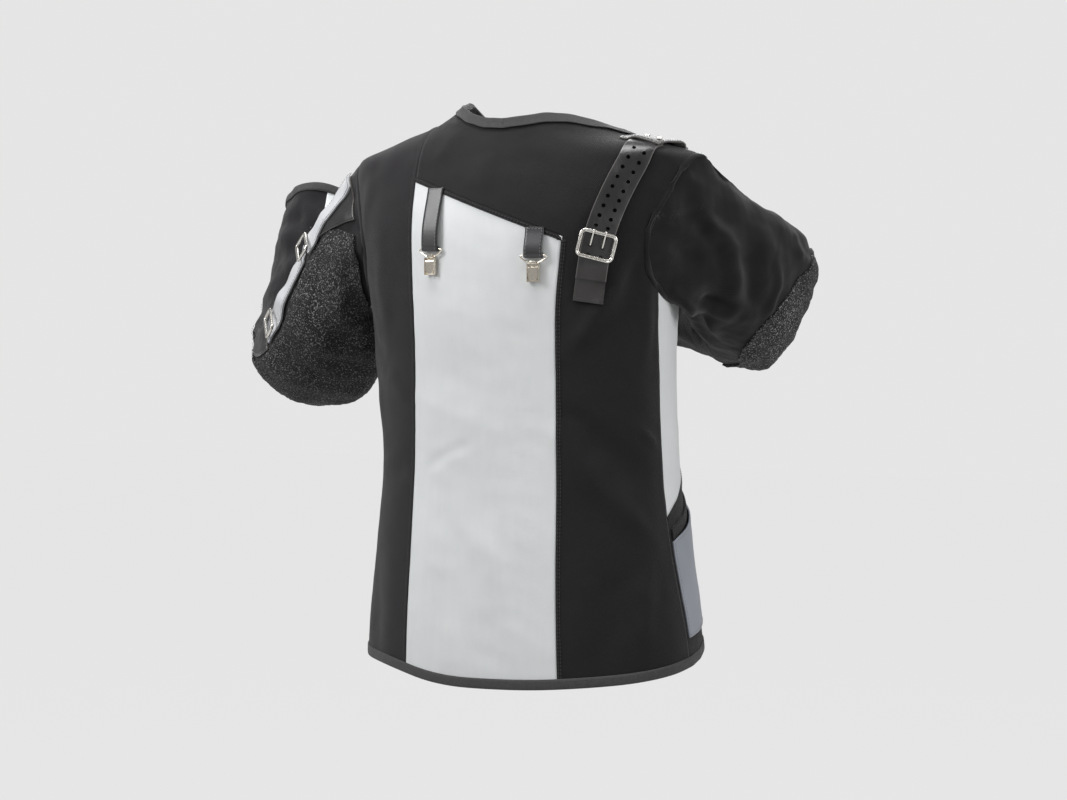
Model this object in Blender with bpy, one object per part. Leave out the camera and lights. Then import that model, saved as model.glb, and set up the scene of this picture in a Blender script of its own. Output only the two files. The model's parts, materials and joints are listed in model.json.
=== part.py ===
# Target shooting jacket, worn form, hollow. Metres, +Z up, front to -Y, the wearer's left to +X.
# The origin is the middle of the back of the neck, where the jacket hangs on the shoulders.
import math

import bmesh
import bpy
import numpy as np
from mathutils import Matrix, Vector
from mathutils.bvhtree import BVHTree

# ---------------------------------------------------------------- driving sizes
seamGap = 0.0004  # air between two pieces at a seam
halfSeam = seamGap / 2
layGap = 0.0006  # air under a piece that lies on faceted cloth
canvasThickness = 0.0018
tapeThickness = 0.0010
tapeDepth = 0.0110  # how far the edge tape reaches over the cloth
patchGap = 0.0009
rubberThickness = 0.0026
leatherThickness = 0.0026
sleeveGap = 0.0012
neckGap = 0.0021
leftColumns = 14
rightColumns = 13
yokeColumns = 15
squareness = 2.25  # 2 is an ellipse, more is boxier
overlapRise = 0.0062  # the left front lies over the right front
frontEdgeLeft = 187.0  # angle where the left front ends, past the middle
frontEdgeRight = -184.0

# the shoulder ridge on each side: height, distance from the middle
leftRidge = (
    (-0.064, 0.245), (-0.041, 0.182), (-0.018, 0.115), (-0.009, 0.100), (0.003, 0.088), (0.012, 0.080),
)
rightRidge = (
    (-0.062, 0.222), (-0.055, 0.198), (-0.048, 0.168), (-0.042, 0.142), (-0.0375, 0.128), (-0.0215, 0.104),
    (-0.008, 0.082), (0.012, 0.050),
)
# height, half width left, half width right, depth behind, depth in front
bodyRings = (
    (-0.720, 0.224, 0.222, 0.131, 0.142),
    (-0.660, 0.222, 0.219, 0.129, 0.140),
    (-0.560, 0.213, 0.203, 0.124, 0.133),
    (-0.440, 0.202, 0.188, 0.118, 0.127),
    (-0.340, 0.208, 0.183, 0.117, 0.127),
    (-0.230, 0.223, 0.186, 0.120, 0.130),
    (-0.150, 0.235, 0.202, 0.117, 0.122),
    (-0.100, 0.240, 0.217, 0.107, 0.108),
    (-0.056, 0.240, 0.224, 0.090, 0.090),
)
ridgeDepths = ((-0.056, 0.090, 0.090), (-0.020, 0.073, 0.070), (0.012, 0.060, 0.055))
# neckline behind and in front: distance from the middle, height
neckBack = (
    (-0.126, -0.0380), (-0.115, -0.0315), (-0.098, -0.0245), (-0.078, -0.0185), (-0.050, -0.0160), (-0.018, -0.0205),
    (0.010, -0.0225), (0.040, -0.0170), (0.070, -0.0060), (0.088, 0.0030),
)
neckFrontMiddle = -0.010
neckFrontLow = -0.086
# hem: angle round the body, height
hemLine = (
    (-190, -0.652), (-115, -0.664), (-83, -0.680), (-38, -0.695), (8, -0.7055), (44, -0.691), (90, -0.686),
    (135, -0.667), (190, -0.652),
)
# long seams of the back: height, distance from the middle
leftSeam = (
    (-0.72, 0.120), (-0.60, 0.117), (-0.274, 0.110), (-0.169, 0.1135), (-0.074, 0.1138), (-0.018, 0.119),
)
whiteRightEdge = ((-0.72, -0.0955), (-0.55, -0.0886), (-0.2725, -0.085), (-0.1624, -0.0932))
whiteTopLeft = -0.0887
whiteTopRight = -0.1624
# side seams: height, angle
rightSideSeam = ((-0.72, -86.5), (-0.65, -84.5), (-0.54, -81.8), (-0.44, -81.5), (-0.36, -82.0), (-0.2275, -78.0))
leftSideSeam = ((-0.72, 92.0), (-0.40, 92.0), (-0.246, 90.0))
# slanted edge between the white and the black right front, and the pocket's mouth: angle, height
frontSlant = ((-190.0, -0.325), (-108.0, -0.455), (-75.0, -0.511), (-70.0, -0.519))
pocketMouth = ((-190.0, -0.410), (-108.0, -0.497), (-75.0, -0.532), (-70.0, -0.537))
pocketFar = -131.0
pocketBottom = -0.646

# armhole: share of its height below the tip, angle it reaches behind the side and in front of it
armholeForm = (
    (0.00, 0.0, 0.0), (0.02, 6.5, 7.5), (0.07, 12.5, 14.0), (0.21, 19.3, 22.0), (0.39, 24.6, 28.0), (0.53, 26.6, 30.5),
    (0.64, 26.0, 30.5), (0.78, 21.5, 26.0), (0.92, 13.0, 16.0), (0.98, 6.5, 8.5), (1.00, 0.0, 0.0),
)
armholeLow = {True: -0.246, False: -0.240}

# each arm: start and end of its middle line, elbow corner, way out of the armhole
armLines = {
    "right": {
        "shoulder": (-0.188, 0.000, -0.148), "elbow": (-0.233, -0.206, -0.240), "cuff": (-0.030, -0.318, -0.222),
        "out": (-0.45, -0.82, -0.35), "topSeam": 8.0, "backColumns": 15, "bendRadius": 0.078,
    },
    "left": {
        "shoulder": (0.205, 0.005, -0.150), "elbow": (0.398, -0.075, -0.374), "cuff": (0.424, -0.205, -0.108),
        "out": (0.80, -0.10, -0.60), "topSeam": -15.0, "backColumns": 11, "bendRadius": 0.068,
    },
}
# share of the arm's way, half size in the bend's plane, half size across it
armSections = {
    "right": ((0.0, 0.074, 0.080), (0.14, 0.072, 0.076), (0.32, 0.070, 0.086), (0.50, 0.067, 0.092), (0.75, 0.063, 0.078), (1.0, 0.058, 0.066)),
    "left": ((0.0, 0.080, 0.088), (0.30, 0.070, 0.080), (0.52, 0.064, 0.077), (0.75, 0.058, 0.066), (1.0, 0.055, 0.062)),
}
# how flat the side towards the chest is, by share of the arm's way
armInner = {
    "right": ((0.0, 1.0), (0.08, 0.95), (0.26, 0.70), (0.40, 0.66), (0.72, 1.0), (1.0, 1.0)),
    "left": ((0.0, 1.0), (0.5, 1.0), (1.0, 1.0)),
}
armSquareness = {"right": 2.9, "left": 2.35}
armColumns = 22
blendShare = 0.34  # share of the arm's way that carries the armhole's form into the tube

# grip patches: right one by angle round the sleeve, with the share of the arm's way where it starts
patchRight = ((-80.0, 0.440), (-55.0, 0.378), (-33.0, 0.352), (-7.0, 0.380), (7.0, 0.408), (46.0, 0.444))
patchRightEnd = 0.62
# left one by share of the arm's way: angles of its two edges
patchLeft = ((0.020, -58.0, 10.0), (0.060, -73.0, 25.0), (0.10, -85.0, 40.0), (0.15, -84.0, 50.0), (0.22, -78.0, 58.0),
             (0.34, -68.0, 62.0), (0.45, -65.0, 62.0), (0.60, -62.0, 62.0), (0.72, -50.0, 50.0))

strapWidth = 0.0365
# middle of the shoulder strap on the back: height, distance from the middle
strapLine = (
    (-0.243, -0.1208), (-0.187, -0.1285), (-0.148, -0.1385), (-0.119, -0.149), (-0.094, -0.159),
    (-0.073, -0.168), (-0.050, -0.178),
)
strapEnd = -0.214
strapBaseTop = -0.152
strapBaseEnd = -0.241
strapRise = 0.0036  # the strap climbs onto its sewn base
holeRadius = 0.0025
holePairs = 9
holeSpacing = 0.0112
holeOffset = 0.0072
firstHole = -0.1520
buckleHeight = -0.1735
buckleSize = (0.0462, 0.0345)
wireRadius = 0.0020
prongRadius = 0.0010
anchorSpan = (-0.139, -0.204)  # cross piece on the shoulder, along the ridge
anchorReach = (0.047, -0.030)  # and across it, behind and in front

# hanging straps: middle, height of the lower end
hangers = {"left": (0.0795, -0.1765), "right": (-0.0600, -0.1850)}
hangerWidth = 0.0230
hangerThickness = 0.0018
hangerRise = 0.0056
barRadius = 0.0011
loopDrop = 0.0092
clipWidth = 0.0150
clipHeight = 0.0210
clipPlate = 0.0010
tongueHalf = 0.0040
earHeight = 0.0056
pinRadius = 0.0010
barrelRadius = 0.0019
leverLength = 0.0150

# straps on the left upper arm: shares of the arm's way and angles round it
armBaseEdges = ((0.016, -118.0, -70.0), (0.06, -111.0, -79.0), (0.12, -106.0, -92.0), (0.150, -104.0, -98.0))
armStrapAngle = ((0.02, -112.0), (0.15, -103.0), (0.30, -90.0), (0.42, -83.0))
armStrapWidth = 0.030
armStrapUpper = (0.016, 0.165)
armStrapLower = (0.185, 0.415)
elbowTabEdges = ((0.43, -104.0, -70.0), (0.50, -98.0, -70.0), (0.56, -92.0, -68.0))

buttonRadius = 0.0100
buttonThickness = 0.0030
buttonHeights = (-0.130, -0.240, -0.350, -0.460, -0.570)
buttonAngle = 181.5

finishes = {
    # name: colour, roughness, metallic
    "black_canvas": ((0.020, 0.018, 0.021), 0.85, 0.0),
    "white_panel": ((0.62, 0.64, 0.66), 0.60, 0.0),
    "blue_grey_panel": ((0.30, 0.34, 0.40), 0.60, 0.0),
    "edge_tape": ((0.055, 0.054, 0.056), 0.70, 0.0),
    "grip_rubber": ((0.030, 0.029, 0.031), 0.95, 0.0),
    "black_leather": ((0.022, 0.021, 0.022), 0.40, 0.0),
    "pale_leather": ((0.55, 0.56, 0.58), 0.45, 0.0),
    "nickel": ((0.72, 0.70, 0.66), 0.25, 1.0),
    "plain_button": ((0.030, 0.030, 0.032), 0.35, 0.0),
}


# ---------------------------------------------------------------- helpers
def clear():
    for item in list(bpy.data.objects):
        bpy.data.objects.remove(item, do_unlink=True)


def collection(name):
    made = bpy.data.collections.new(name)
    bpy.context.scene.collection.children.link(made)
    return made


def material(name):
    found = bpy.data.materials.get(name)
    if found:
        return found
    colour, roughness, metallic = finishes[name]
    made = bpy.data.materials.new(name)
    made.use_nodes = True
    shader = made.node_tree.nodes["Principled BSDF"]
    shader.inputs["Base Color"].default_value = (*colour, 1.0)
    shader.inputs["Roughness"].default_value = roughness
    shader.inputs["Metallic"].default_value = metallic
    return made


def unit(v):
    return v / np.linalg.norm(v)


def smooth(t):
    t = min(1.0, max(0.0, t))
    return t * t * (3 - 2 * t)


def lookup(table, at, column=1):
    """Smooth value of one column of a table whose first column rises."""
    xs = [row[0] for row in table]
    ys = [row[column] for row in table]
    n = len(xs)
    slopes = [(ys[i + 1] - ys[i]) / (xs[i + 1] - xs[i]) for i in range(n - 1)]
    tangents = [slopes[0]] + [0.0] * (n - 2) + [slopes[-1]]
    for i in range(1, n - 1):
        if slopes[i - 1] * slopes[i] > 0:
            tangents[i] = 2 * slopes[i - 1] * slopes[i] / (slopes[i - 1] + slopes[i])
    at = min(xs[-1], max(xs[0], at))
    i = max(0, min(n - 2, int(np.searchsorted(xs, at)) - 1))
    h = xs[i + 1] - xs[i]
    t = (at - xs[i]) / h
    a = (1 + 2 * t) * (1 - t) ** 2
    b = t * (1 - t) ** 2
    c = t * t * (3 - 2 * t)
    d = t * t * (t - 1)
    return a * ys[i] + b * h * tangents[i] + c * ys[i + 1] + d * h * tangents[i + 1]


def spaced(start, end, count):
    return [start + (end - start) * i / (count - 1) for i in range(count)]


def easeTop(t):
    return 1 - (1 - t) ** 1.8


# ---------------------------------------------------------------- the body's form
def ridge(left):
    return leftRidge if left else rightRidge


def tip(left):
    z, x = ridge(left)[0]
    return (x if left else -x), z


def halfWidth(z, left):
    if z >= ridge(left)[0][0]:
        return lookup(ridge(left), z)
    return lookup(bodyRings, z, 1 if left else 2) + tipCorrection(z, left)


def tipCorrection(z, left):
    """Carries the ring width to the shoulder tip without a step."""
    x, top = tip(left)
    miss = abs(x) - lookup(bodyRings, top, 1 if left else 2)
    return miss * smooth(1 - (top - z) / 0.05)


def depth(z, back):
    if z > bodyRings[-1][0]:
        return lookup(ridgeDepths, z, 1 if back else 2)
    return lookup(bodyRings, z, 3 if back else 4)


def ridgeHeight(x):
    """Height of the shoulder ridge at a distance from the middle."""
    table = sorted((width, z) for z, width in ridge(x > 0))
    return lookup(table, abs(x))


def bodyPoint(u, z):
    """Point of the cloth's outer face: u turns from the middle of the back to the wearer's left."""
    s = math.sin(u)
    c = math.cos(u)
    power = 2 / squareness
    x = math.copysign(halfWidth(z, s >= 0) * abs(s) ** power, s)
    y = math.copysign(depth(z, c >= 0) * abs(c) ** power, c)
    return np.array((x, y, z))


def angleOf(x, z, back=True, side=0):
    """Angle of a point; side -1 or 1 keeps a front piece's angles running past the middle."""
    share = min(1.0, abs(x) / halfWidth(z, x >= 0))
    q = math.asin(share ** (squareness / 2))
    u = q if back else math.pi - q
    u = math.copysign(u, x)
    if side and not back and u * side < 0:
        u += side * 2 * math.pi
    return u


def bodyNormal(u, z):
    step = 0.004
    rise = 0.0006
    top = min(z + rise, 0.0115)
    across = bodyPoint(u + step, z) - bodyPoint(u - step, z)
    up = bodyPoint(u, top) - bodyPoint(u, top - 2 * rise)
    normal = unit(np.cross(across, up))
    outward = np.array((math.sin(u), math.cos(u), 0.35))
    return normal if normal @ outward > 0 else -normal


def frontRise(u):
    """The left front stands off the right front where the two overlap."""
    start = math.radians(156.0)
    full = math.radians(170.0)
    return overlapRise * smooth((u - start) / (full - start))


def hemHeight(u):
    return lookup(hemLine, math.degrees(u))


def neckFront(x):
    left = x > neckFrontMiddle
    end, top = (neckBack[-1] if left else neckBack[0])
    share = min(1.0, abs((x - neckFrontMiddle) / (end - neckFrontMiddle)))
    return top - (top - neckFrontLow) * math.sqrt(1 - share * share)


def armholePoint(left, phi):
    """(angle, height) on the armhole: phi 0 is the tip, 90 degrees behind, 180 the lowest point."""
    phi = phi % (2 * math.pi)
    share = 0.5 * (1 - math.cos(phi))
    top, low = tip(left)[1], armholeLow[left]
    behind = phi <= math.pi
    reach = math.radians(lookup(armholeForm, share, 1 if behind else 2))
    u = math.radians(90) + (-reach if behind else reach)
    return (u if left else -u), top + (low - top) * share


# ---------------------------------------------------------------- grids and shells
def coons(bottom, top, left, right):
    """Fills the four sided outline with rows from the bottom curve to the top curve."""
    bottom, top, left, right = (np.array(edge, float) for edge in (bottom, top, left, right))
    rows = len(left)
    cols = len(bottom)
    grid = np.zeros((rows, cols, 2))
    for i in range(rows):
        t = i / (rows - 1)
        for j in range(cols):
            s = j / (cols - 1)
            edges = (1 - t) * bottom[j] + t * top[j] + (1 - s) * left[i] + s * right[i]
            corners = (1 - t) * ((1 - s) * bottom[0] + s * bottom[-1])
            corners += t * ((1 - s) * top[0] + s * top[-1])
            grid[i, j] = edges - corners
    return grid


def resample(points, count, keep=()):
    """Evenly spaced points on a path, with the kept ones among them."""
    points = np.array(points, float)
    steps = np.linalg.norm(np.diff(points, axis=0), axis=1)
    along = np.concatenate([[0], np.cumsum(steps)])
    wanted = np.linspace(0, along[-1], count)
    for k in keep:
        wanted[int(np.argmin(abs(wanted - along[k])))] = along[k]
    return [tuple(np.interp(w, along, points[:, c]) for c in range(2)) for w in wanted]


def newObject(name, mesh, finish, smoothAngle=40.0):
    item = bpy.data.objects.new(name, mesh)
    jacket.objects.link(item)
    mesh.materials.append(material(finish))
    mesh.shade_smooth()
    mesh.set_sharp_from_angle(angle=math.radians(smoothAngle))
    return item


def shell(name, finish, grids):
    """Welds grids of outer points into one sheet and extrudes it to the inner points."""
    bm = bmesh.new()
    found = {}
    inners = {}

    def vertex(outer, inner):
        key = tuple(round(float(c), 6) for c in outer)
        if key not in found:
            found[key] = bm.verts.new(outer)
            inners[key] = inner
        return found[key]

    for outer, inner in grids:
        rows, cols = outer.shape[:2]
        corners = [[vertex(outer[i, j], inner[i, j]) for j in range(cols)] for i in range(rows)]
        for i in range(rows - 1):
            for j in range(cols - 1):
                quad = (corners[i][j], corners[i][j + 1], corners[i + 1][j + 1], corners[i + 1][j])
                kept = [v for n, v in enumerate(quad) if v not in quad[:n]]
                if len(kept) > 2:
                    bm.faces.new(kept)
    byPlace = {tuple(vert.co): inners[key] for key, vert in found.items()}
    made = bmesh.ops.extrude_face_region(bm, geom=list(bm.faces), use_keep_orig=True)
    for vert in made["geom"]:
        if isinstance(vert, bmesh.types.BMVert):
            vert.co = byPlace[tuple(vert.co)]
    bmesh.ops.triangulate(bm, faces=bm.faces)
    bmesh.ops.recalc_face_normals(bm, faces=bm.faces)
    if bm.calc_volume(signed=True) < 0:
        bmesh.ops.reverse_faces(bm, faces=bm.faces)
    mesh = bpy.data.meshes.new(name)
    bm.to_mesh(mesh)
    bm.free()
    return newObject(name, mesh, finish)


def loft(name, finish, rings, caps=(), closed=False, smoothAngle=40.0):
    """A solid through rings of equal length. Unless the rings close on themselves, caps lists the
    faces of each end by their places in the ring."""
    bm = bmesh.new()
    made = [[bm.verts.new(point) for point in ring] for ring in rings]
    count = len(made[0])
    runs = len(made) if closed else len(made) - 1
    for i in range(runs):
        low, high = made[i], made[(i + 1) % len(made)]
        for j in range(count):
            k = (j + 1) % count
            bm.faces.new((low[j], low[k], high[k], high[j]))
    for cap in () if closed else caps:
        bm.faces.new([made[0][k] for k in reversed(cap)])
        bm.faces.new([made[-1][k] for k in cap])
    bmesh.ops.triangulate(bm, faces=bm.faces)
    bmesh.ops.recalc_face_normals(bm, faces=bm.faces)
    if bm.calc_volume(signed=True) < 0:
        bmesh.ops.reverse_faces(bm, faces=bm.faces)
    mesh = bpy.data.meshes.new(name)
    bm.to_mesh(mesh)
    bm.free()
    return newObject(name, mesh, finish, smoothAngle)


def bodyGrid(angles, rise=False, lift=0.0, thickness=canvasThickness):
    """Outer and inner points for a grid of (angle, height)."""
    rows, cols = angles.shape[:2]
    outer = np.zeros((rows, cols, 3))
    inner = np.zeros((rows, cols, 3))
    for i in range(rows):
        for j in range(cols):
            u, z = angles[i, j]
            normal = bodyNormal(u, z)
            up = lift + (frontRise(u) if rise else 0.0)
            outer[i, j] = bodyPoint(u, z) + normal * up
            inner[i, j] = outer[i, j] - normal * thickness
    return outer, inner


def toAngles(grid, back=True, side=0):
    out = np.zeros_like(grid)
    for i in range(grid.shape[0]):
        for j in range(grid.shape[1]):
            x, z = grid[i, j]
            out[i, j] = (angleOf(x, z, back, side), z)
    return out


def flat(u, z):
    return bodyPoint(u, z)[0], z


# ---------------------------------------------------------------- body panels
def seamAngle(table, z, shift=0.0):
    """Angle of a long back seam given by its distance from the middle."""
    return angleOf(lookup(table, z) + shift, z)


def sideAngle(table, z, shift=0.0):
    return math.radians(lookup(table, z)) + shift / halfWidth(z, table[0][1] > 0)


def lowerGrid(rows, leftAngle, rightAngle, cols, topRow=None, topHeight=None):
    """Grid from the hem to a top row, between two seams given as functions of height."""
    grid = np.zeros((rows, cols, 2))
    shares = spaced(0.0, 1.0, cols)
    if topRow is not None:
        a, b = topRow[0][0], topRow[-1][0]
        shares = [(p[0] - a) / (b - a) for p in topRow]
    for i in range(rows):
        t = i / (rows - 1)
        for j in range(cols):
            top = topRow[j][1] if topRow is not None else topHeight
            z = top + (-0.68 - top) * (1 - t)
            for _ in range(5):
                a, b = leftAngle(z), rightAngle(z)
                u = a + (b - a) * shares[j]
                hem = hemHeight(u)
                z = hem + (top - hem) * t
            grid[i, j] = (u, z)
    if topRow is not None:
        grid[-1] = topRow
    return grid


def armholeRun(left, start, end, count):
    return [armholePoint(left, math.radians(a)) for a in spaced(start, end, count)]


def phiAtAngle(left, angle, behind=True):
    """The armhole's phi where its lower part meets an angle of the body."""
    wanted = abs(angle)
    runs = np.radians(np.linspace(118, 180, 200) if behind else np.linspace(180, 242, 200))
    misses = [abs(abs(armholePoint(left, phi)[0]) - wanted) for phi in runs]
    return math.degrees(runs[int(np.argmin(misses))])


def buildBackLeft():
    cols = 7
    seamEnd = armholePoint(True, math.pi)
    lowTop = seamEnd[1]
    top = [(a, ridgeHeight(a)) for a in spaced(lookup(leftSeam, ridgeHeight(0.119)) + halfSeam, tip(True)[0], cols)]
    topRow = [(u, lowTop) for u in spaced(seamAngle(leftSeam, lowTop, halfSeam), seamEnd[0], cols)]
    low = lowerGrid(12, lambda z: seamAngle(leftSeam, z, halfSeam), lambda z: sideAngle(leftSideSeam, z, -halfSeam),
                    cols, topRow)
    rows = 11
    right = [flat(*p) for p in armholeRun(True, 180, 0, rows)]
    left = [(lookup(leftSeam, z) + halfSeam, z) for z in
            (lowTop + (top[0][1] - lowTop) * easeTop(i / (rows - 1)) for i in range(rows))]
    left[-1] = top[0]
    bottom = [flat(*p) for p in topRow]
    upper = toAngles(coons(bottom, top, left, right))
    upper[0] = topRow
    shell("back_left", "black_canvas", [bodyGrid(low), bodyGrid(upper)])
    return low


def whiteTop(x):
    a, b = lookup(leftSeam, whiteTopLeft), whiteRightEdge[-1][1]
    return whiteTopLeft + (whiteTopRight - whiteTopLeft) * (a - x) / (a - b)


def buildBackCentre():
    rows, cols = 14, 7
    grid = np.zeros((rows, cols, 2))
    for i in range(rows):
        t = i / (rows - 1)
        for j in range(cols):
            s = j / (cols - 1)
            x = 0.11 - 0.20 * s
            z = -0.4
            for _ in range(5):
                a, b = lookup(leftSeam, z) - halfSeam, lookup(whiteRightEdge, z) + halfSeam
                x = a + (b - a) * s
                hem = hemHeight(angleOf(x, z))
                z = hem + (whiteTop(x) - seamGap - hem) * t
            grid[i, j] = (angleOf(x, z), z)
    shell("back_centre", "white_panel", [bodyGrid(grid)])
    return grid


def yokeTop(cols):
    """Yoke's upper edge from the left back seam over the neckline to the right shoulder tip."""
    start = lookup(leftSeam, ridgeHeight(0.119)) - halfSeam
    leftPart = [(x, ridgeHeight(x)) for x in spaced(start, neckBack[-1][0], 3)]
    neckPart = [(x, lookup(neckBack, x)) for x in spaced(neckBack[-1][0], neckBack[0][0], 25)]
    neckPart[-1] = (neckBack[0][0], ridgeHeight(neckBack[0][0]))
    rightPart = [(x, ridgeHeight(x)) for x in spaced(neckBack[0][0], tip(False)[0], 6)]
    return resample(leftPart + neckPart[1:] + rightPart[1:], cols, keep=(0, 2, 26, 31))


def buildBackRightYoke():
    corner = whiteRightEdge[-1][1] - halfSeam
    low, high = 9, yokeColumns - 8
    start = lookup(leftSeam, whiteTopLeft) - halfSeam
    slant = [(x, whiteTop(x)) for x in spaced(start, corner, low)]
    phis = np.radians(np.linspace(0, 140, 141))
    heights = [armholePoint(False, phi)[1] for phi in phis]
    phiCorner = float(np.degrees(np.interp(-whiteTopRight, [-h for h in heights], phis)))
    armAngle = armholePoint(False, math.radians(phiCorner))[0]
    across = [(flat(u, whiteTopRight)) for u in spaced(angleOf(corner, whiteTopRight), armAngle, high)]
    bottom = slant + across[1:]
    cols = len(bottom)
    rows = 10
    right = [flat(*p) for p in armholeRun(False, phiCorner, 0, rows)]
    right[0] = bottom[-1]
    top = yokeTop(cols)
    left = [(lookup(leftSeam, z) - halfSeam, z) for z in
            (whiteTopLeft + (top[0][1] - whiteTopLeft) * easeTop(i / (rows - 1)) for i in range(rows))]
    left[0] = bottom[0]
    left[-1] = top[0]
    right[-1] = top[-1]
    upper = toAngles(coons(bottom, top, left, right))
    # below the white panel's corner the piece goes on down to the hem
    phiSeam = phiAtAngle(False, math.radians(rightSideSeam[-1][1]))
    middleHeight = armholePoint(False, math.radians(phiSeam))[1]
    midRows = 5
    middle = np.zeros((midRows, high, 2))
    arm = armholeRun(False, phiSeam, phiCorner, midRows)
    for i in range(midRows):
        u1, z1 = arm[i]
        u0 = seamAngle(whiteRightEdge, z1, -halfSeam)
        middle[i] = [(u0 + (u1 - u0) * j / (high - 1), z1) for j in range(high)]
    middle[-1] = upper[0, low - 1:]
    lower = lowerGrid(12, lambda z: seamAngle(whiteRightEdge, z, -halfSeam),
                      lambda z: sideAngle(rightSideSeam, z, halfSeam), high, middle[0])
    shell("back_right_yoke", "black_canvas", [bodyGrid(upper), bodyGrid(middle), bodyGrid(lower)])
    return lower, upper


def frontTop(left, edgeX, cols):
    """Front's upper edge from the shoulder tip over the ridge and neckline to the front edge."""
    neckX = neckBack[-1][0] if left else neckBack[0][0]
    ridgePart = [(x, ridgeHeight(x)) for x in spaced(tip(left)[0], neckX, 8)]
    neckPart = [(x, neckFront(x)) for x in
                (neckX + (edgeX - neckX) * (1 - math.cos(a * math.pi / 40)) for a in range(21))]
    return resample(ridgePart + neckPart[1:], cols, keep=(0, 7, 27))


def frontEdgeX(left, z):
    u = math.radians(frontEdgeLeft if left else frontEdgeRight)
    return bodyPoint(u, z)[0]


def frontUpper(left, cols, rows):
    """Upper front in (angle, height), above the lowest point of the armhole."""
    side = 1 if left else -1
    low = armholeLow[left]
    edge = math.radians(frontEdgeLeft if left else frontEdgeRight)
    startAngle = armholePoint(left, math.pi)[0]
    bottomAngles = spaced(startAngle, edge, cols)
    bottom = [flat(u, low) for u in bottomAngles]
    top = frontTop(left, frontEdgeX(left, neckFrontLow), cols)
    start = [flat(*p) for p in armholeRun(left, 180, 360, rows)]
    topZ = top[-1][1]
    end = [(frontEdgeX(left, z), z) for z in (low + (topZ - low) * easeTop(i / (rows - 1)) for i in range(rows))]
    start[0], start[-1] = bottom[0], top[0]
    end[-1] = top[-1]
    grid = toAngles(coons(bottom, top, start, end), back=False, side=side)
    grid[0] = [(u, low) for u in bottomAngles]
    return grid


def buildFrontLeft():
    cols = leftColumns
    upper = frontUpper(True, cols, 12)
    lower = lowerGrid(12, lambda z: sideAngle(leftSideSeam, z, halfSeam), lambda z: math.radians(frontEdgeLeft),
                      cols, upper[0])
    shell("front_left", "black_canvas", [bodyGrid(lower, rise=True), bodyGrid(upper, rise=True)])
    return lower, upper


def buildFrontRight():
    cols = rightColumns
    underCols = 4
    upper = frontUpper(False, cols, 12)
    phiSeam = phiAtAngle(False, math.radians(rightSideSeam[-1][1]))
    under = armholeRun(False, phiSeam, 180, underCols)
    seamShift = -halfSeam / 0.2
    under[0] = (under[0][0] + seamShift, under[0][1])
    topRow = np.array(under[:-1] + [tuple(p) for p in upper[0]])
    full = len(topRow)
    a, b = topRow[0][0], topRow[-1][0]
    shares = [(p[0] - a) / (b - a) for p in topRow]

    def band(rows, lowEdge, highEdge):
        grid = np.zeros((rows, full, 2))
        for i in range(rows):
            t = i / (rows - 1)
            for j in range(full):
                z = -0.5
                for _ in range(5):
                    a0 = sideAngle(rightSideSeam, z, -halfSeam)
                    u = a0 + (b - a0) * shares[j]
                    z0, z1 = lowEdge(u, j), highEdge(u, j)
                    z = z0 + (z1 - z0) * t
                grid[i, j] = (u, z)
        return grid

    def slant(u, shift):
        return lookup(frontSlant, math.degrees(u)) + shift

    white = band(8, lambda u, j: slant(u, halfSeam), lambda u, j: topRow[j][1])
    white[-1] = topRow
    black = band(7, lambda u, j: hemHeight(u), lambda u, j: slant(u, -halfSeam))
    shell("front_right_upper", "white_panel", [bodyGrid(white), bodyGrid(upper)])
    shell("front_right_lower", "black_canvas", [bodyGrid(black)])
    return black, upper


# ---------------------------------------------------------------- edge tapes
tapeCaps = ((0, 1, 7, 8), (1, 2, 7), (2, 6, 7), (2, 3, 6), (3, 4, 5, 6))
bentTapeCaps = ((0, 1, 11, 12), (1, 2, 10, 11), (2, 3, 10), (3, 9, 10), (3, 4, 9), (4, 5, 8, 9), (5, 6, 7, 8))


def tapeRing(edge, into, normal, out, cloth=canvasThickness):
    """Section of a tape folded over a cloth edge: edge and into lie on the outer face."""
    near, far = layGap, layGap + tapeThickness
    low = cloth + near
    deep = cloth + far

    def at(base, height, push=0.0):
        return base + normal * height + out * push

    return [
        at(into, far), at(edge, far, 0.2 * far), at(edge, -cloth / 2, far), at(edge, -deep, 0.2 * far),
        at(into, -deep), at(into, -low), at(edge, -low, near), at(edge, near, near), at(into, near),
    ]


def bentTapeRing(rows, out, cloth=canvasThickness):
    """The same section over a rounded edge: rows hold (place, normal) from the tape's depth to the edge."""
    near, far = neckGap, neckGap + tapeThickness
    (into, n0), (mid, n1), (edge, n2) = rows
    low = cloth + near
    deep = cloth + far
    return [
        into + n0 * far, mid + n1 * far, edge + n2 * far + out * 0.8 * far, edge - n2 * cloth / 2 + out * far,
        edge - n2 * deep + out * 0.8 * far, mid - n1 * deep, into - n0 * deep, into - n0 * low, mid - n1 * low,
        edge - n2 * low + out * near, edge + n2 * near + out * near, mid + n1 * near, into + n0 * near,
    ]


def hemStations(*grids):
    """Hem points of the panels in turn, with the point straight above each on the second row."""
    stations = []
    for grid, rise in grids:
        for j in range(grid.shape[1]):
            stations.append((grid[0, j], grid[1, j], rise))
    stations.sort(key=lambda s: s[0][0])
    kept = []
    for station in stations:
        if not kept or station[0][0] - kept[-1][0][0] > math.radians(1.0):
            kept.append(station)
    return kept


def buildHemTape(grids):
    rings = []
    for low, high, rise in hemStations(*grids):
        u, z = low
        normal = bodyNormal(u, z)
        lift = frontRise(u) if rise else 0.0
        edge = bodyPoint(u, z) + normal * lift
        above = bodyPoint(*high) + bodyNormal(*high) * (frontRise(high[0]) if rise else 0.0)
        way = unit(above - edge)
        rings.append(tapeRing(edge, edge + way * tapeDepth, normal, -way))
    loft("hem_binding", "edge_tape", rings, tapeCaps)


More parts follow.
